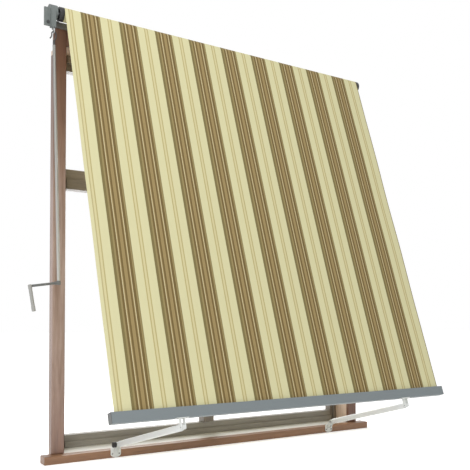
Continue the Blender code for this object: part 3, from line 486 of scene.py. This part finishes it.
# The pale grey ramp is the painted reflection, streaked along the sill.
reflection_colour = ramp_node(sill_tree, streaked, [(0.35, (0.74, 0.73, 0.68, 1)), (0.65, (0.88, 0.88, 0.84, 1))])
sill_colour = mix_colour(sill_tree, reflection_field, sill_grain.outputs["Color"], reflection_colour)
sill_tree.links.new(sill_colour, sill_shader.inputs["Base Color"])
print("sill:", sill_wood.name)

# %% [markdown]
# The awning's own metal is coated aluminium, so it is hardly metallic to the eye: the coat hides the metal.
# Only the zinc-plated pins, bolts and shafts are bare and shine.

# %% Metal and plastic


def metal_material(name, colour, stretch, metallic, rough, dust, scuff):
    """A coated, bare or plastic surface with its die lines, dust and scuffs."""
    material, tree, shader = new_material(name, Metallic=metallic)
    skin = place_group(tree, metal_skin, Base=colour, Dust=dust, Scuff=scuff, Rough=rough)
    tree.links.new(object_place(tree, stretch), skin.inputs["Vector"])
    tree.links.new(skin.outputs["Color"], shader.inputs["Base Color"])
    tree.links.new(skin.outputs["Roughness"], shader.inputs["Roughness"])
    add_bump(tree, shader, skin.outputs["Height"], distance=0.0002, amount=0.1)
    return material


bar_metal = metal_material("bar_aluminium", (0.205, 0.238, 0.250, 1), ALONG_X,
                           metallic=0.15, rough=0.42, dust=0.15, scuff=0.25)
head_metal = metal_material("head_aluminium", (0.165, 0.165, 0.160, 1), ALONG_X,
                            metallic=0.1, rough=0.5, dust=0.3, scuff=0.3)
winch_metal = metal_material("winch_aluminium", (0.146, 0.168, 0.163, 1), EVENLY,
                             metallic=0.1, rough=0.45, dust=0.25, scuff=0.5)
arm_metal = metal_material("arm_aluminium", (0.86, 0.88, 0.87, 1), ALONG_Y,
                           metallic=0.1, rough=0.28, dust=0.2, scuff=0.1)
fitting_metal = metal_material("fitting_metal", (0.80, 0.82, 0.80, 1), EVENLY,
                               metallic=0.1, rough=0.32, dust=0.3, scuff=0.3)
rod_metal = metal_material("rod_metal", (0.47, 0.47, 0.45, 1), ALONG_Z,
                           metallic=0.3, rough=0.34, dust=0.3, scuff=0.2)
zinc = metal_material("zinc", (0.50, 0.52, 0.53, 1), EVENLY,
                      metallic=0.85, rough=0.3, dust=0.3, scuff=0.3)
dark_steel = metal_material("dark_steel", (0.032, 0.033, 0.035, 1), EVENLY,
                            metallic=0.1, rough=0.42, dust=0.15, scuff=0.2)
black_plastic = metal_material("black_plastic", (0.014, 0.014, 0.016, 1), EVENLY,
                               metallic=0.0, rough=0.38, dust=0.12, scuff=0.1)
grey_plastic = metal_material("grey_plastic", (0.135, 0.142, 0.142, 1), EVENLY,
                              metallic=0.0, rough=0.45, dust=0.2, scuff=0.2)
grip_plastic = metal_material("grip_plastic", (0.37, 0.37, 0.355, 1), EVENLY,
                              metallic=0.0, rough=0.45, dust=0.3, scuff=0.2)
print("metal and plastic:", len(bpy.data.materials), "materials so far")

# %% [markdown]
# The crank's rod is darker towards its top and paler low down. A ramp over the height of the rod gives its
# colour to the metal group.

# %% Rod colour
ROD_HEIGHT = 2.2
rod_tree = rod_metal.node_tree
rod_skin = next(node for node in rod_tree.nodes if node.type == "GROUP")
rod_place = rod_tree.nodes.new("ShaderNodeTexCoord")
rod_split = rod_tree.nodes.new("ShaderNodeSeparateXYZ")
rod_tree.links.new(rod_place.outputs["Object"], rod_split.inputs["Vector"])
rod_share = math_node(rod_tree, "DIVIDE", rod_split.outputs["Z"], ROD_HEIGHT)
rod_colour = ramp_node(rod_tree, rod_share, [(0.42, (0.50, 0.50, 0.475, 1)), (0.90, (0.27, 0.27, 0.255, 1))])
rod_tree.links.new(rod_colour, rod_skin.inputs["Base"])
print("rod:", rod_metal.name)

# %% [markdown]
# The long edges of the cloth are folded back and sewn. The seam is a row of short stitches beside each edge.
# The group finds the distance from the nearer edge, keeps a narrow line there and breaks it into dashes.

# %% Stitch group
HEM_WIDTH = 0.022
SEAM_INSET, THREAD_RADIUS = 0.003, 0.0005
STITCH_PITCH, STITCH_SHARE = 0.0045, 0.72
stitches, stitch_in, stitch_out = new_group(
    "hem_stitches", [("Across", "NodeSocketFloat", 0.0), ("Along", "NodeSocketFloat", 0.0),
                     ("Width", "NodeSocketFloat", 1.0)], [("Mask", "NodeSocketFloat")])
other_edge = math_node(stitches, "SUBTRACT", stitch_in.outputs["Width"], stitch_in.outputs["Across"])
from_edge = math_node(stitches, "MINIMUM", stitch_in.outputs["Across"], other_edge)
seam_offset = math_node(stitches, "SUBTRACT", from_edge, HEM_WIDTH - SEAM_INSET)
on_line = math_node(stitches, "LESS_THAN", math_node(stitches, "ABSOLUTE", seam_offset), THREAD_RADIUS)
dash = math_node(stitches, "FRACT", math_node(stitches, "DIVIDE", stitch_in.outputs["Along"], STITCH_PITCH))
on_dash = math_node(stitches, "LESS_THAN", dash, STITCH_SHARE)
stitches.links.new(math_node(stitches, "MULTIPLY", on_line, on_dash), stitch_out.inputs["Mask"])
print("group:", stitches.name, len(stitches.nodes), "nodes")

# %% [markdown]
# The cloth reads its own UV map, which holds metres across and metres along, so that the stripes stay on
# their yarns. The roll reads Object coordinates, because its stripes go round it.

# %% Cloth


def weave_cloth(across, along, tree, shader):
    """Gives a shader the colours of the stripes and the relief of the weave, and returns the colour."""
    stripes = place_group(tree, cloth_stripes)
    tree.links.new(across, stripes.inputs["Across"])
    yarns = place_group(tree, weave)
    tree.links.new(across, yarns.inputs["Across"])
    tree.links.new(along, yarns.inputs["Along"])
    tree.links.new(stripes.outputs["Color"], shader.inputs["Base Color"])
    add_bump(tree, shader, yarns.outputs["Height"], distance=0.0004, amount=0.5)
    return stripes.outputs["Color"]


CLOTH_SPECULAR = 0.2
THREAD = (0.62, 0.57, 0.42, 1)
fabric_low, fabric_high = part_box("fabric")
cloth_width = fabric_high.x - fabric_low.x
sheet_cloth, sheet_tree, sheet_shader = new_material("striped_cloth", Roughness=0.88, Sheen_Weight=0.04)
sheet_shader.inputs["Specular IOR Level"].default_value = CLOTH_SPECULAR
sheet_uv = sheet_tree.nodes.new("ShaderNodeUVMap")
sheet_uv.uv_map = "cut"
sheet_split = sheet_tree.nodes.new("ShaderNodeSeparateXYZ")
sheet_tree.links.new(sheet_uv.outputs["UV"], sheet_split.inputs["Vector"])
sheet_colour = weave_cloth(sheet_split.outputs["X"], sheet_split.outputs["Y"], sheet_tree, sheet_shader)
seam = place_group(sheet_tree, stitches, Width=cloth_width)
sheet_tree.links.new(sheet_split.outputs["X"], seam.inputs["Across"])
sheet_tree.links.new(sheet_split.outputs["Y"], seam.inputs["Along"])
sewn_colour = mix_colour(sheet_tree, seam.outputs["Mask"], sheet_colour, THREAD)
sheet_tree.links.new(sewn_colour, sheet_shader.inputs["Base Color"])

roll_low, roll_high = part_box("fabric_roll")
roll_cloth, roll_tree, roll_shader = new_material("rolled_cloth", Roughness=0.9, Sheen_Weight=0.04)
roll_shader.inputs["Specular IOR Level"].default_value = CLOTH_SPECULAR
roll_place = roll_tree.nodes.new("ShaderNodeTexCoord")
roll_split = roll_tree.nodes.new("ShaderNodeSeparateXYZ")
roll_tree.links.new(roll_place.outputs["Object"], roll_split.inputs["Vector"])
roll_across = math_node(roll_tree, "SUBTRACT", roll_split.outputs["X"], roll_low.x)
weave_cloth(roll_across, roll_split.outputs["Y"], roll_tree, roll_shader)
print("cloth:", sheet_cloth.name, roll_cloth.name)

# %% [markdown]
# Every CAD piece takes its finish here. Its shape stays as measured.

# %% Finishes of the CAD pieces
finishes = {
    left_post_wood: "left_face_board left_lining",
    post_wood: "right_face_board",
    head_wood: "head_face_board",
    sill_wood: "sill",
    lining_wood: "right_lining",
    lining_head: "head_lining",
    stile_wood: "left_stile right_stile lower_mullion upper_mullion",
    rail_wood: "transom top_rail",
    low_rail_wood: "bottom_rail",
    bar_metal: "front_bar",
    head_metal: "head_bar",
    winch_metal: "winch_housing winch_cover left_bracket right_bracket",
    arm_metal: "left_arm right_arm",
    fitting_metal: "left_arm_foot right_arm_foot left_arm_tip right_arm_tip left_sill_bracket "
                   "right_sill_bracket left_clip right_clip",
    rod_metal: "crank_rod",
    zinc: "roller_tube drive_shaft idle_pin worm_wheel worm_shaft hem_rod left_clip_pin right_clip_pin "
          "left_pivot_bolt right_pivot_bolt",
    dark_steel: "winch_bolt crank_hook crank_ferrule left_clip_screw_1 left_clip_screw_2 right_clip_screw_1 "
                "right_clip_screw_2",
    black_plastic: "left_knob right_knob left_plug right_plug",
    grey_plastic: "left_end_cap right_end_cap crank_elbow crank_arm",
    grip_plastic: "crank_grip",
    roll_cloth: "fabric_roll",
    sheet_cloth: "fabric",
}
for material, names in finishes.items():
    for name in names.split():
        piece = nodes[name]
        piece.data.materials.clear()
        piece.data.materials.append(material)
print("finished:", sum(len(names.split()) for names in finishes.values()), "of", len(nodes))

# %% [markdown]
# No real edge is perfectly sharp, and a rounded one catches light. The measured pieces are loose triangles,
# so a Weld modifier joins them first. Bevel then rounds the sharp edges of boards, cast and extruded pieces,
# and Weighted Normal keeps their flat faces flat. Round pieces are only smoothed, and Edge Split keeps their
# ends crisp. All of these stay live, so the measured mesh underneath isn't touched.

# %% Rounded edges and smooth pieces
ROUNDED = {
    0.0020: "sill left_face_board right_face_board head_face_board",
    0.0012: "left_lining right_lining head_lining left_stile right_stile bottom_rail top_rail transom "
            "lower_mullion upper_mullion winch_cover winch_housing",
    0.0006: "front_bar head_bar left_bracket right_bracket left_clip right_clip left_sill_bracket "
            "right_sill_bracket",
}
SMOOTH = ("roller_tube drive_shaft idle_pin left_plug right_plug crank_rod crank_hook crank_ferrule "
          "crank_elbow crank_arm worm_shaft worm_wheel left_arm right_arm left_arm_foot right_arm_foot "
          "left_arm_tip right_arm_tip left_clip_pin right_clip_pin left_pivot_bolt right_pivot_bolt hem_rod "
          "left_end_cap right_end_cap winch_bolt")
WELD_REACH, FLAT_WEIGHT = 0.00002, 80


def weld_piece(piece):
    """Joins loose triangles by a live modifier and shades the piece smooth."""
    piece.data.shade_smooth()
    weld = piece.modifiers.new("weld", "WELD")
    weld.merge_threshold = WELD_REACH


def add_bevel(piece, width, angle):
    """A Bevel modifier on the edges that are sharper than an angle."""
    rounding = piece.modifiers.new("rounding", "BEVEL")
    rounding.width = width
    rounding.segments = 2
    rounding.limit_method = "ANGLE"
    rounding.angle_limit = math.radians(angle)
    return rounding


for width, names in ROUNDED.items():
    for name in names.split():
        weld_piece(nodes[name])
        add_bevel(nodes[name], width, angle=40)
        flatten = nodes[name].modifiers.new("flat_faces", "WEIGHTED_NORMAL")
        flatten.mode = "FACE_AREA"
        flatten.weight = FLAT_WEIGHT
for name in SMOOTH.split():
    weld_piece(nodes[name])
    split = nodes[name].modifiers.new("crisp_ends", "EDGE_SPLIT")
    split.split_angle = math.radians(35)
print("rounded:", sum(len(names.split()) for names in ROUNDED.values()), "smoothed:", len(SMOOTH.split()))

# %% [markdown]
# Helpers for modelling by hand: pick faces by a test, then use edit-mode operators on them. A face looks one
# way if its normal's share in that direction is over SQUARE_ON. At the end the place of a piece goes into its
# mesh, so that its patterns lie on it as on the CAD pieces.

# %% Modelling helpers
JOIN_REACH = 0.00001
SQUARE_ON = 0.9


def edit_all():
    """Enters edit mode with the whole mesh selected."""
    bpy.ops.object.mode_set(mode="EDIT")
    bpy.ops.mesh.select_all(action="SELECT")


def extrude(step):
    """Pushes the selected faces out by a step."""
    bpy.ops.mesh.extrude_region_move(TRANSFORM_OT_translate={"value": step})


def pick_faces(piece, test):
    """Selects, in edit mode, only the faces that pass the test."""
    bpy.ops.object.mode_set(mode="EDIT")
    bpy.ops.mesh.select_mode(type="FACE")
    bpy.ops.mesh.select_all(action="DESELECT")
    bpy.ops.object.mode_set(mode="OBJECT")
    for face in piece.data.polygons:
        face.select = test(face)
    bpy.ops.object.mode_set(mode="EDIT")


def finish_piece(piece, name, material, body, angle=35):
    """Names a piece, puts its place in its mesh, smooths it and lets it ride on a body."""
    if piece.mode != "OBJECT":
        bpy.ops.object.mode_set(mode="OBJECT")
    deselect_all()
    piece.select_set(True)
    bpy.context.view_layer.objects.active = piece
    bpy.ops.object.transform_apply(location=True, rotation=True, scale=True)
    edit_all()
    bpy.ops.mesh.remove_doubles(threshold=JOIN_REACH)
    bpy.ops.mesh.normals_make_consistent(inside=False)
    bpy.ops.object.mode_set(mode="OBJECT")
    bpy.ops.object.shade_smooth_by_angle(angle=math.radians(angle))
    piece.name = name
    piece.data.name = name
    piece.data.materials.clear()
    piece.data.materials.append(material)
    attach(piece, body)
    deselect_all()
    print(name, "has", len(piece.data.polygons), "faces")
    return piece


# %% [markdown]
# The cloth is pulled taut between the roll and the front bar, so it is nearly flat. It leaves the roll at its
# front and goes into the slot of the bar. A grid gives enough points for the faint lengthwise ripples that a
# taut cloth keeps near its side edges, and Solidify gives the yarn its thickness. The outer columns of the
# grid are as wide as the hem, whose folded-back layer is then pushed out of the back of the sheet.

# %% Cloth sheet
LEAN = math.radians(18.6813)
CLOTH_THICK = 0.001
COLUMNS, ROWS = 120, 60
LONG_RIPPLE, SIDE_RIPPLE = 0.0012, 0.0016
HEM_THICK, HEM_STOP = 0.0008, 0.04
half_y, half_z = CLOTH_THICK / 2 * math.cos(LEAN), CLOTH_THICK / 2 * math.sin(LEAN)
top_edge = Vector((0, fabric_high.y - half_y, fabric_high.z - half_z))
low_edge = Vector((0, fabric_low.y + half_y, fabric_low.z + half_z))
cloth_length = (top_edge - low_edge).length
deselect_all()
bpy.ops.mesh.primitive_grid_add(x_subdivisions=COLUMNS, y_subdivisions=ROWS, size=1, location=(0, 0, 0))
sheet = bpy.context.object
sheet.name = "cloth_sheet"
column = 1 / COLUMNS
for vertex in sheet.data.vertices:
    if column / 2 < 0.5 - abs(vertex.co.x) < column * 1.5:
        vertex.co.x = math.copysign(0.5 - HEM_WIDTH / cloth_width, vertex.co.x)
uv = sheet.data.uv_layers.new(name="cut")
for loop in sheet.data.loops:
    place = sheet.data.vertices[loop.vertex_index].co
    uv.data[loop.index].uv = ((place.x + 0.5) * cloth_width, (place.y + 0.5) * cloth_length)
outward = Vector((0, -math.cos(LEAN), math.sin(LEAN)))
for vertex in sheet.data.vertices:
    across, along = vertex.co.x * cloth_width, vertex.co.y + 0.5
    free = math.sin(math.pi * along)
    side = abs(vertex.co.x * 2) ** 6
    ripple = free * (LONG_RIPPLE * math.sin(across * 11 + 1.3) + SIDE_RIPPLE * side * math.sin(along * 19))
    vertex.co = low_edge.lerp(top_edge, along) + Vector((across, 0, 0)) + outward * ripple
for layer in list(sheet.data.uv_layers):
    if layer.name != "cut":
        sheet.data.uv_layers.remove(layer)
solid = sheet.modifiers.new("thickness", "SOLIDIFY")
solid.thickness = CLOTH_THICK
solid.offset = 0
bpy.ops.object.modifier_apply(modifier=solid.name)
edit_all()
bpy.ops.mesh.normals_make_consistent(inside=False)
hem_side = cloth_width / 2 - HEM_WIDTH
pick_faces(sheet, lambda face: face.normal.dot(outward) < -SQUARE_ON and abs(face.center.x) > hem_side
           and low_edge.z + HEM_STOP < face.center.z < top_edge.z - HEM_STOP)
hem_faces = sheet.data.total_face_sel
extrude(tuple(outward * -HEM_THICK))
bpy.ops.object.mode_set(mode="OBJECT")
sheet.data.materials.append(sheet_cloth)
print("cloth:", round(cloth_width, 3), "by", round(cloth_length, 3), "m, hem faces:", hem_faces)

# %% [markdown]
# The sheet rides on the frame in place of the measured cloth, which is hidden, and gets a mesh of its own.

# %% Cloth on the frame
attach(sheet, "frame")
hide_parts("fabric")
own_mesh(sheet)

# %% [markdown]
# The rolled cloth is a spiral seen from its end: each turn lies one thickness further out. A circle is the
# start. Its points move in a little from the place where the sheet leaves, the face is pushed out to the full
# width, and both ends are inset ring by ring so that the turns show.

# %% Rolled cloth
ROLL_AXIS = Vector((0, -0.024, 2.2403))
ROLL_RADIUS, ROLL_SIDES = 0.035, 96
SPIRAL_STEP, TURN_WIDTH, END_DEPTH = 0.0013, 0.0010, 0.03
TURNS_SHOWN, TURN_DEPTHS = 8, (-0.0004, 0.0003)
leave = math.pi - LEAN
deselect_all()
bpy.ops.mesh.primitive_circle_add(vertices=ROLL_SIDES, radius=ROLL_RADIUS, fill_type="NGON",
                                  location=(0, 0, 0))
roll = bpy.context.object
for vertex in roll.data.vertices:
    turn = (leave - math.atan2(vertex.co.y, vertex.co.x)) % (2 * math.pi)
    vertex.co *= (ROLL_RADIUS - SPIRAL_STEP * turn / (2 * math.pi)) / ROLL_RADIUS
edit_all()
extrude((0, 0, roll_high.x - roll_low.x))
for end in (1, -1):
    pick_faces(roll, lambda face: face.normal.z * end > SQUARE_ON and len(face.vertices) == ROLL_SIDES)
    for ring in range(TURNS_SHOWN):
        bpy.ops.mesh.inset(thickness=TURN_WIDTH, depth=TURN_DEPTHS[ring % 2])
    extrude((0, 0, -END_DEPTH * end))
bpy.ops.object.mode_set(mode="OBJECT")
roll.rotation_euler = (math.pi / 2, 0, math.pi / 2)
roll.location = (roll_low.x, ROLL_AXIS.y, ROLL_AXIS.z)
finish_piece(roll, "rolled_cloth", roll_cloth, "roller", angle=25)
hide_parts("fabric_roll")

# %% [markdown]
# A black plastic collar at each end of the roll covers the roll's end around the tube's plug.
# A filled circle is inset once, the middle is deleted to leave the hole for the plug, and the ring that stays
# is pushed out to the collar's length. Its edges are bevelled.

# %% Roll collars
COLLAR_LENGTH, COLLAR_RADIUS, COLLAR_WALL, COLLAR_GAP = 0.024, 0.0345, 0.0097, 0.0003
left_collar_x, right_collar_x = roll_low.x - COLLAR_GAP - COLLAR_LENGTH, roll_high.x + COLLAR_GAP
for side, collar_x in (("left", left_collar_x), ("right", right_collar_x)):
    deselect_all()
    bpy.ops.mesh.primitive_circle_add(vertices=48, radius=COLLAR_RADIUS, fill_type="NGON",
                                      location=(0, 0, 0))
    collar = bpy.context.object
    edit_all()
    bpy.ops.mesh.inset(thickness=COLLAR_WALL, depth=0)
    bpy.ops.mesh.delete(type="FACE")
    bpy.ops.mesh.select_all(action="SELECT")
    extrude((0, 0, COLLAR_LENGTH))
    bpy.ops.object.mode_set(mode="OBJECT")
    bpy.ops.object.modifier_apply(modifier=add_bevel(collar, 0.0010, angle=50).name)
    collar.rotation_euler = (math.pi / 2, 0, math.pi / 2)
    collar.location = (collar_x, ROLL_AXIS.y, ROLL_AXIS.z)
    finish_piece(collar, f"{side}_roll_collar", black_plastic, "roller")

# %% [markdown]
# All the screws have low domed heads with a cross for the driver. A cylinder's top is inset and raised twice
# for the dome, and two crossed bars are cut out of it. This head is the pattern, and the screws are copies.

# %% Screw head pattern
HEAD_RADIUS, HEAD_HEIGHT = 0.0048, 0.0032
CROSS_LENGTH, CROSS_WIDTH, CROSS_DEPTH = 0.0056, 0.0010, 0.0016
deselect_all()
bpy.ops.mesh.primitive_cylinder_add(vertices=24, radius=HEAD_RADIUS, depth=HEAD_HEIGHT * 0.5,
                                    location=(0, 0, HEAD_HEIGHT * 0.25))
pattern = bpy.context.object
pick_faces(pattern, lambda face: face.normal.z > SQUARE_ON)
bpy.ops.mesh.inset(thickness=HEAD_RADIUS * 0.25, depth=HEAD_HEIGHT * 0.35)
bpy.ops.mesh.inset(thickness=HEAD_RADIUS * 0.30, depth=HEAD_HEIGHT * 0.15)
bpy.ops.object.mode_set(mode="OBJECT")
for size in ((CROSS_LENGTH, CROSS_WIDTH, CROSS_DEPTH), (CROSS_WIDTH, CROSS_LENGTH, CROSS_DEPTH)):
    deselect_all()
    bpy.ops.mesh.primitive_cube_add(size=1, location=(0, 0, HEAD_HEIGHT), scale=size)
    bar = bpy.context.object
    cut = pattern.modifiers.new("cross", "BOOLEAN")
    cut.operation = "DIFFERENCE"
    cut.solver = "EXACT"
    cut.object = bar
    bpy.context.view_layer.objects.active = pattern
    bpy.ops.object.modifier_apply(modifier=cut.name)
    bpy.data.objects.remove(bar, do_unlink=True)
print("screw head:", len(pattern.data.polygons), "faces")

# %% [markdown]
# Each bracket is held by two screws: the roller brackets from above into the head bar, the sill brackets from
# the front into the sill, and the clips from below into the front bar. The clip screws replace the plain
# measured ones. The others cover the plain heads that the measured brackets carry.

# %% Screws
FACING = {"up": 0, "front": math.pi / 2, "down": math.pi}
BRACKET_SCREW_X, BRACKET_SCREW_Z, BRACKET_SCREWS_Y = 0.996, 2.2136, (0.0102, 0.0228)
SILL_BRACKETS_X, SILL_SCREW_APART = {"left": -0.695, "right": 0.730}, 0.0187
SILL_SCREW_Y, SILL_SCREW_Z = -0.0573, 0.0211


def add_screw(name, place, facing, turned, body):
    """A copy of the pattern at a place on a bracket, with its cross turned a little."""
    deselect_all()
    head = pattern.copy()
    head.data = pattern.data.copy()
    bpy.context.scene.collection.objects.link(head)
    head.matrix_world = (Matrix.Translation(Vector(place)) @ Matrix.Rotation(FACING[facing], 4, "X")
                         @ Matrix.Rotation(math.radians(turned), 4, "Z"))
    return finish_piece(head, name, dark_steel, body)


for side in ("left", "right"):
    for number in (1, 2):
        low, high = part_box(f"{side}_clip_screw_{number}")
        middle = (low + high) / 2
        place = (middle.x, middle.y, high.z)
        screw = add_screw(f"{side}_clip_cross_{number}", place, "down", 17 + 40 * number, "bar")
        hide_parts(f"{side}_clip_screw_{number}")
for side, sign in (("left", -1), ("right", 1)):
    for number, place_y in enumerate(BRACKET_SCREWS_Y, 1):
        place = (sign * BRACKET_SCREW_X, place_y, BRACKET_SCREW_Z)
        add_screw(f"{side}_bracket_cross_{number}", place, "up", 25 * number, "frame")
for side, middle_x in SILL_BRACKETS_X.items():
    for number, apart in enumerate((-SILL_SCREW_APART, SILL_SCREW_APART), 1):
        place = (middle_x + apart, SILL_SCREW_Y, SILL_SCREW_Z)
        add_screw(f"{side}_sill_cross_{number}", place, "front", 31 * number, "frame")
bpy.data.objects.remove(pattern, do_unlink=True)

# %% [markdown]
# The two arms are locked on the sill with round black knobs. A knob is moulded with flutes for the fingers:
# every second face of a cylinder's side is pushed in, and its end is inset and raised to a shallow dome.

# %% Knobs
FLUTE_INSET, FLUTE_DEPTH = 0.0004, 0.0010
KNOB_RIM, KNOB_STEP, KNOB_DOME = (0.0022, 0), (0.0012, -0.0008), (0.0050, 0.0006)
for side, outward_x in (("left", -1), ("right", 1)):
    low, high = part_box(f"{side}_knob")
    middle = (low + high) / 2
    deselect_all()
    bpy.ops.mesh.primitive_cylinder_add(vertices=32, radius=(high.z - low.z) / 2, depth=high.x - low.x,
                                        location=middle, rotation=(0, outward_x * math.pi / 2, 0))
    knob = bpy.context.object
    pick_faces(knob, lambda face: abs(face.normal.z) < 0.5 and face.index % 2 == 0)
    bpy.ops.mesh.inset(thickness=FLUTE_INSET, depth=-FLUTE_DEPTH, use_individual=True)
    pick_faces(knob, lambda face: face.normal.z > SQUARE_ON)
    for thickness, depth in (KNOB_RIM, KNOB_STEP, KNOB_DOME):
        bpy.ops.mesh.inset(thickness=thickness, depth=depth)
    bpy.ops.object.mode_set(mode="OBJECT")
    bpy.ops.object.modifier_apply(modifier=add_bevel(knob, 0.0005, angle=50).name)
    finish_piece(knob, f"{side}_fluted_knob", black_plastic, "frame")
    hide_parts(f"{side}_knob")

# %% [markdown]
# The hand grip of the crank turns freely in the hand. It is a plastic sleeve that is a little thicker at both
# ends, with rings between. A circle is extruded ring by ring from one end. Each row of the profile is the
# step to the next ring and that ring's scale.

# %% Crank grip
CRANK_TILT, CRANK_DROOP = math.radians(4.55), math.radians(8)
CRANK_TOP = Vector((-1.032, -0.0585, 2.13))
ROD_BOTTOM, ELBOW_RADIUS, ARM_REACH = 1.240, 0.0095, 0.138
GRIP_LENGTH, GRIP_RADIUS, GRIP_RISE, TIP_SCALE = 0.127, 0.0092, 0.0072, 0.72
GRIP_FLANGE = [(0.0015, 1.22), (0.0025, 1.13), (0.016, 1.0), (0.002, 0.92)]
GRIP_RING, GRIP_RINGS = [(0.0045, 1.0), (0.0012, 0.93), (0.0018, 1.0), (0.0012, 1 / 0.93)], 9
GRIP_WIDEN, GRIP_END = [(0.002, 1 / 0.92)], [(0.0025, 0.93), (0.0015, TIP_SCALE)]


def crank_place(x, z):
    """A point of the hanging crank, in its own plane below the hook, as a point of the room."""
    return CRANK_TOP + Matrix.Rotation(-CRANK_TILT, 3, "X") @ Vector((x, 0, z))


corner_z = -ROD_BOTTOM - ELBOW_RADIUS
knuckle = (-ARM_REACH * math.cos(CRANK_DROOP), corner_z - ARM_REACH * math.sin(CRANK_DROOP))
down = Vector((math.sin(CRANK_DROOP), -math.cos(CRANK_DROOP)))
grip_top = (knuckle[0] - down.x * GRIP_RISE, knuckle[1] - down.y * GRIP_RISE)
start = crank_place(*grip_top)
finish = crank_place(grip_top[0] + down.x * GRIP_LENGTH, grip_top[1] + down.y * GRIP_LENGTH)
deselect_all()
bpy.ops.mesh.primitive_circle_add(vertices=40, radius=GRIP_RADIUS * TIP_SCALE, fill_type="NGON",
                                  location=(0, 0, 0))
grip = bpy.context.object
edit_all()
profile = GRIP_FLANGE + GRIP_RING * GRIP_RINGS + GRIP_WIDEN
plain_length = GRIP_LENGTH - sum(step for step, scale in profile + GRIP_END)
profile += [(plain_length, 1.0)] + GRIP_END
for step, scale in profile:
    extrude((0, 0, step))
    bpy.ops.transform.resize(value=(scale, scale, 1))
bpy.ops.object.mode_set(mode="OBJECT")
grip.rotation_euler = (finish - start).to_track_quat("Z", "Y").to_euler()
grip.location = start
finish_piece(grip, "ribbed_grip", grip_plastic, "crank", angle=30)
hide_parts("crank_grip")
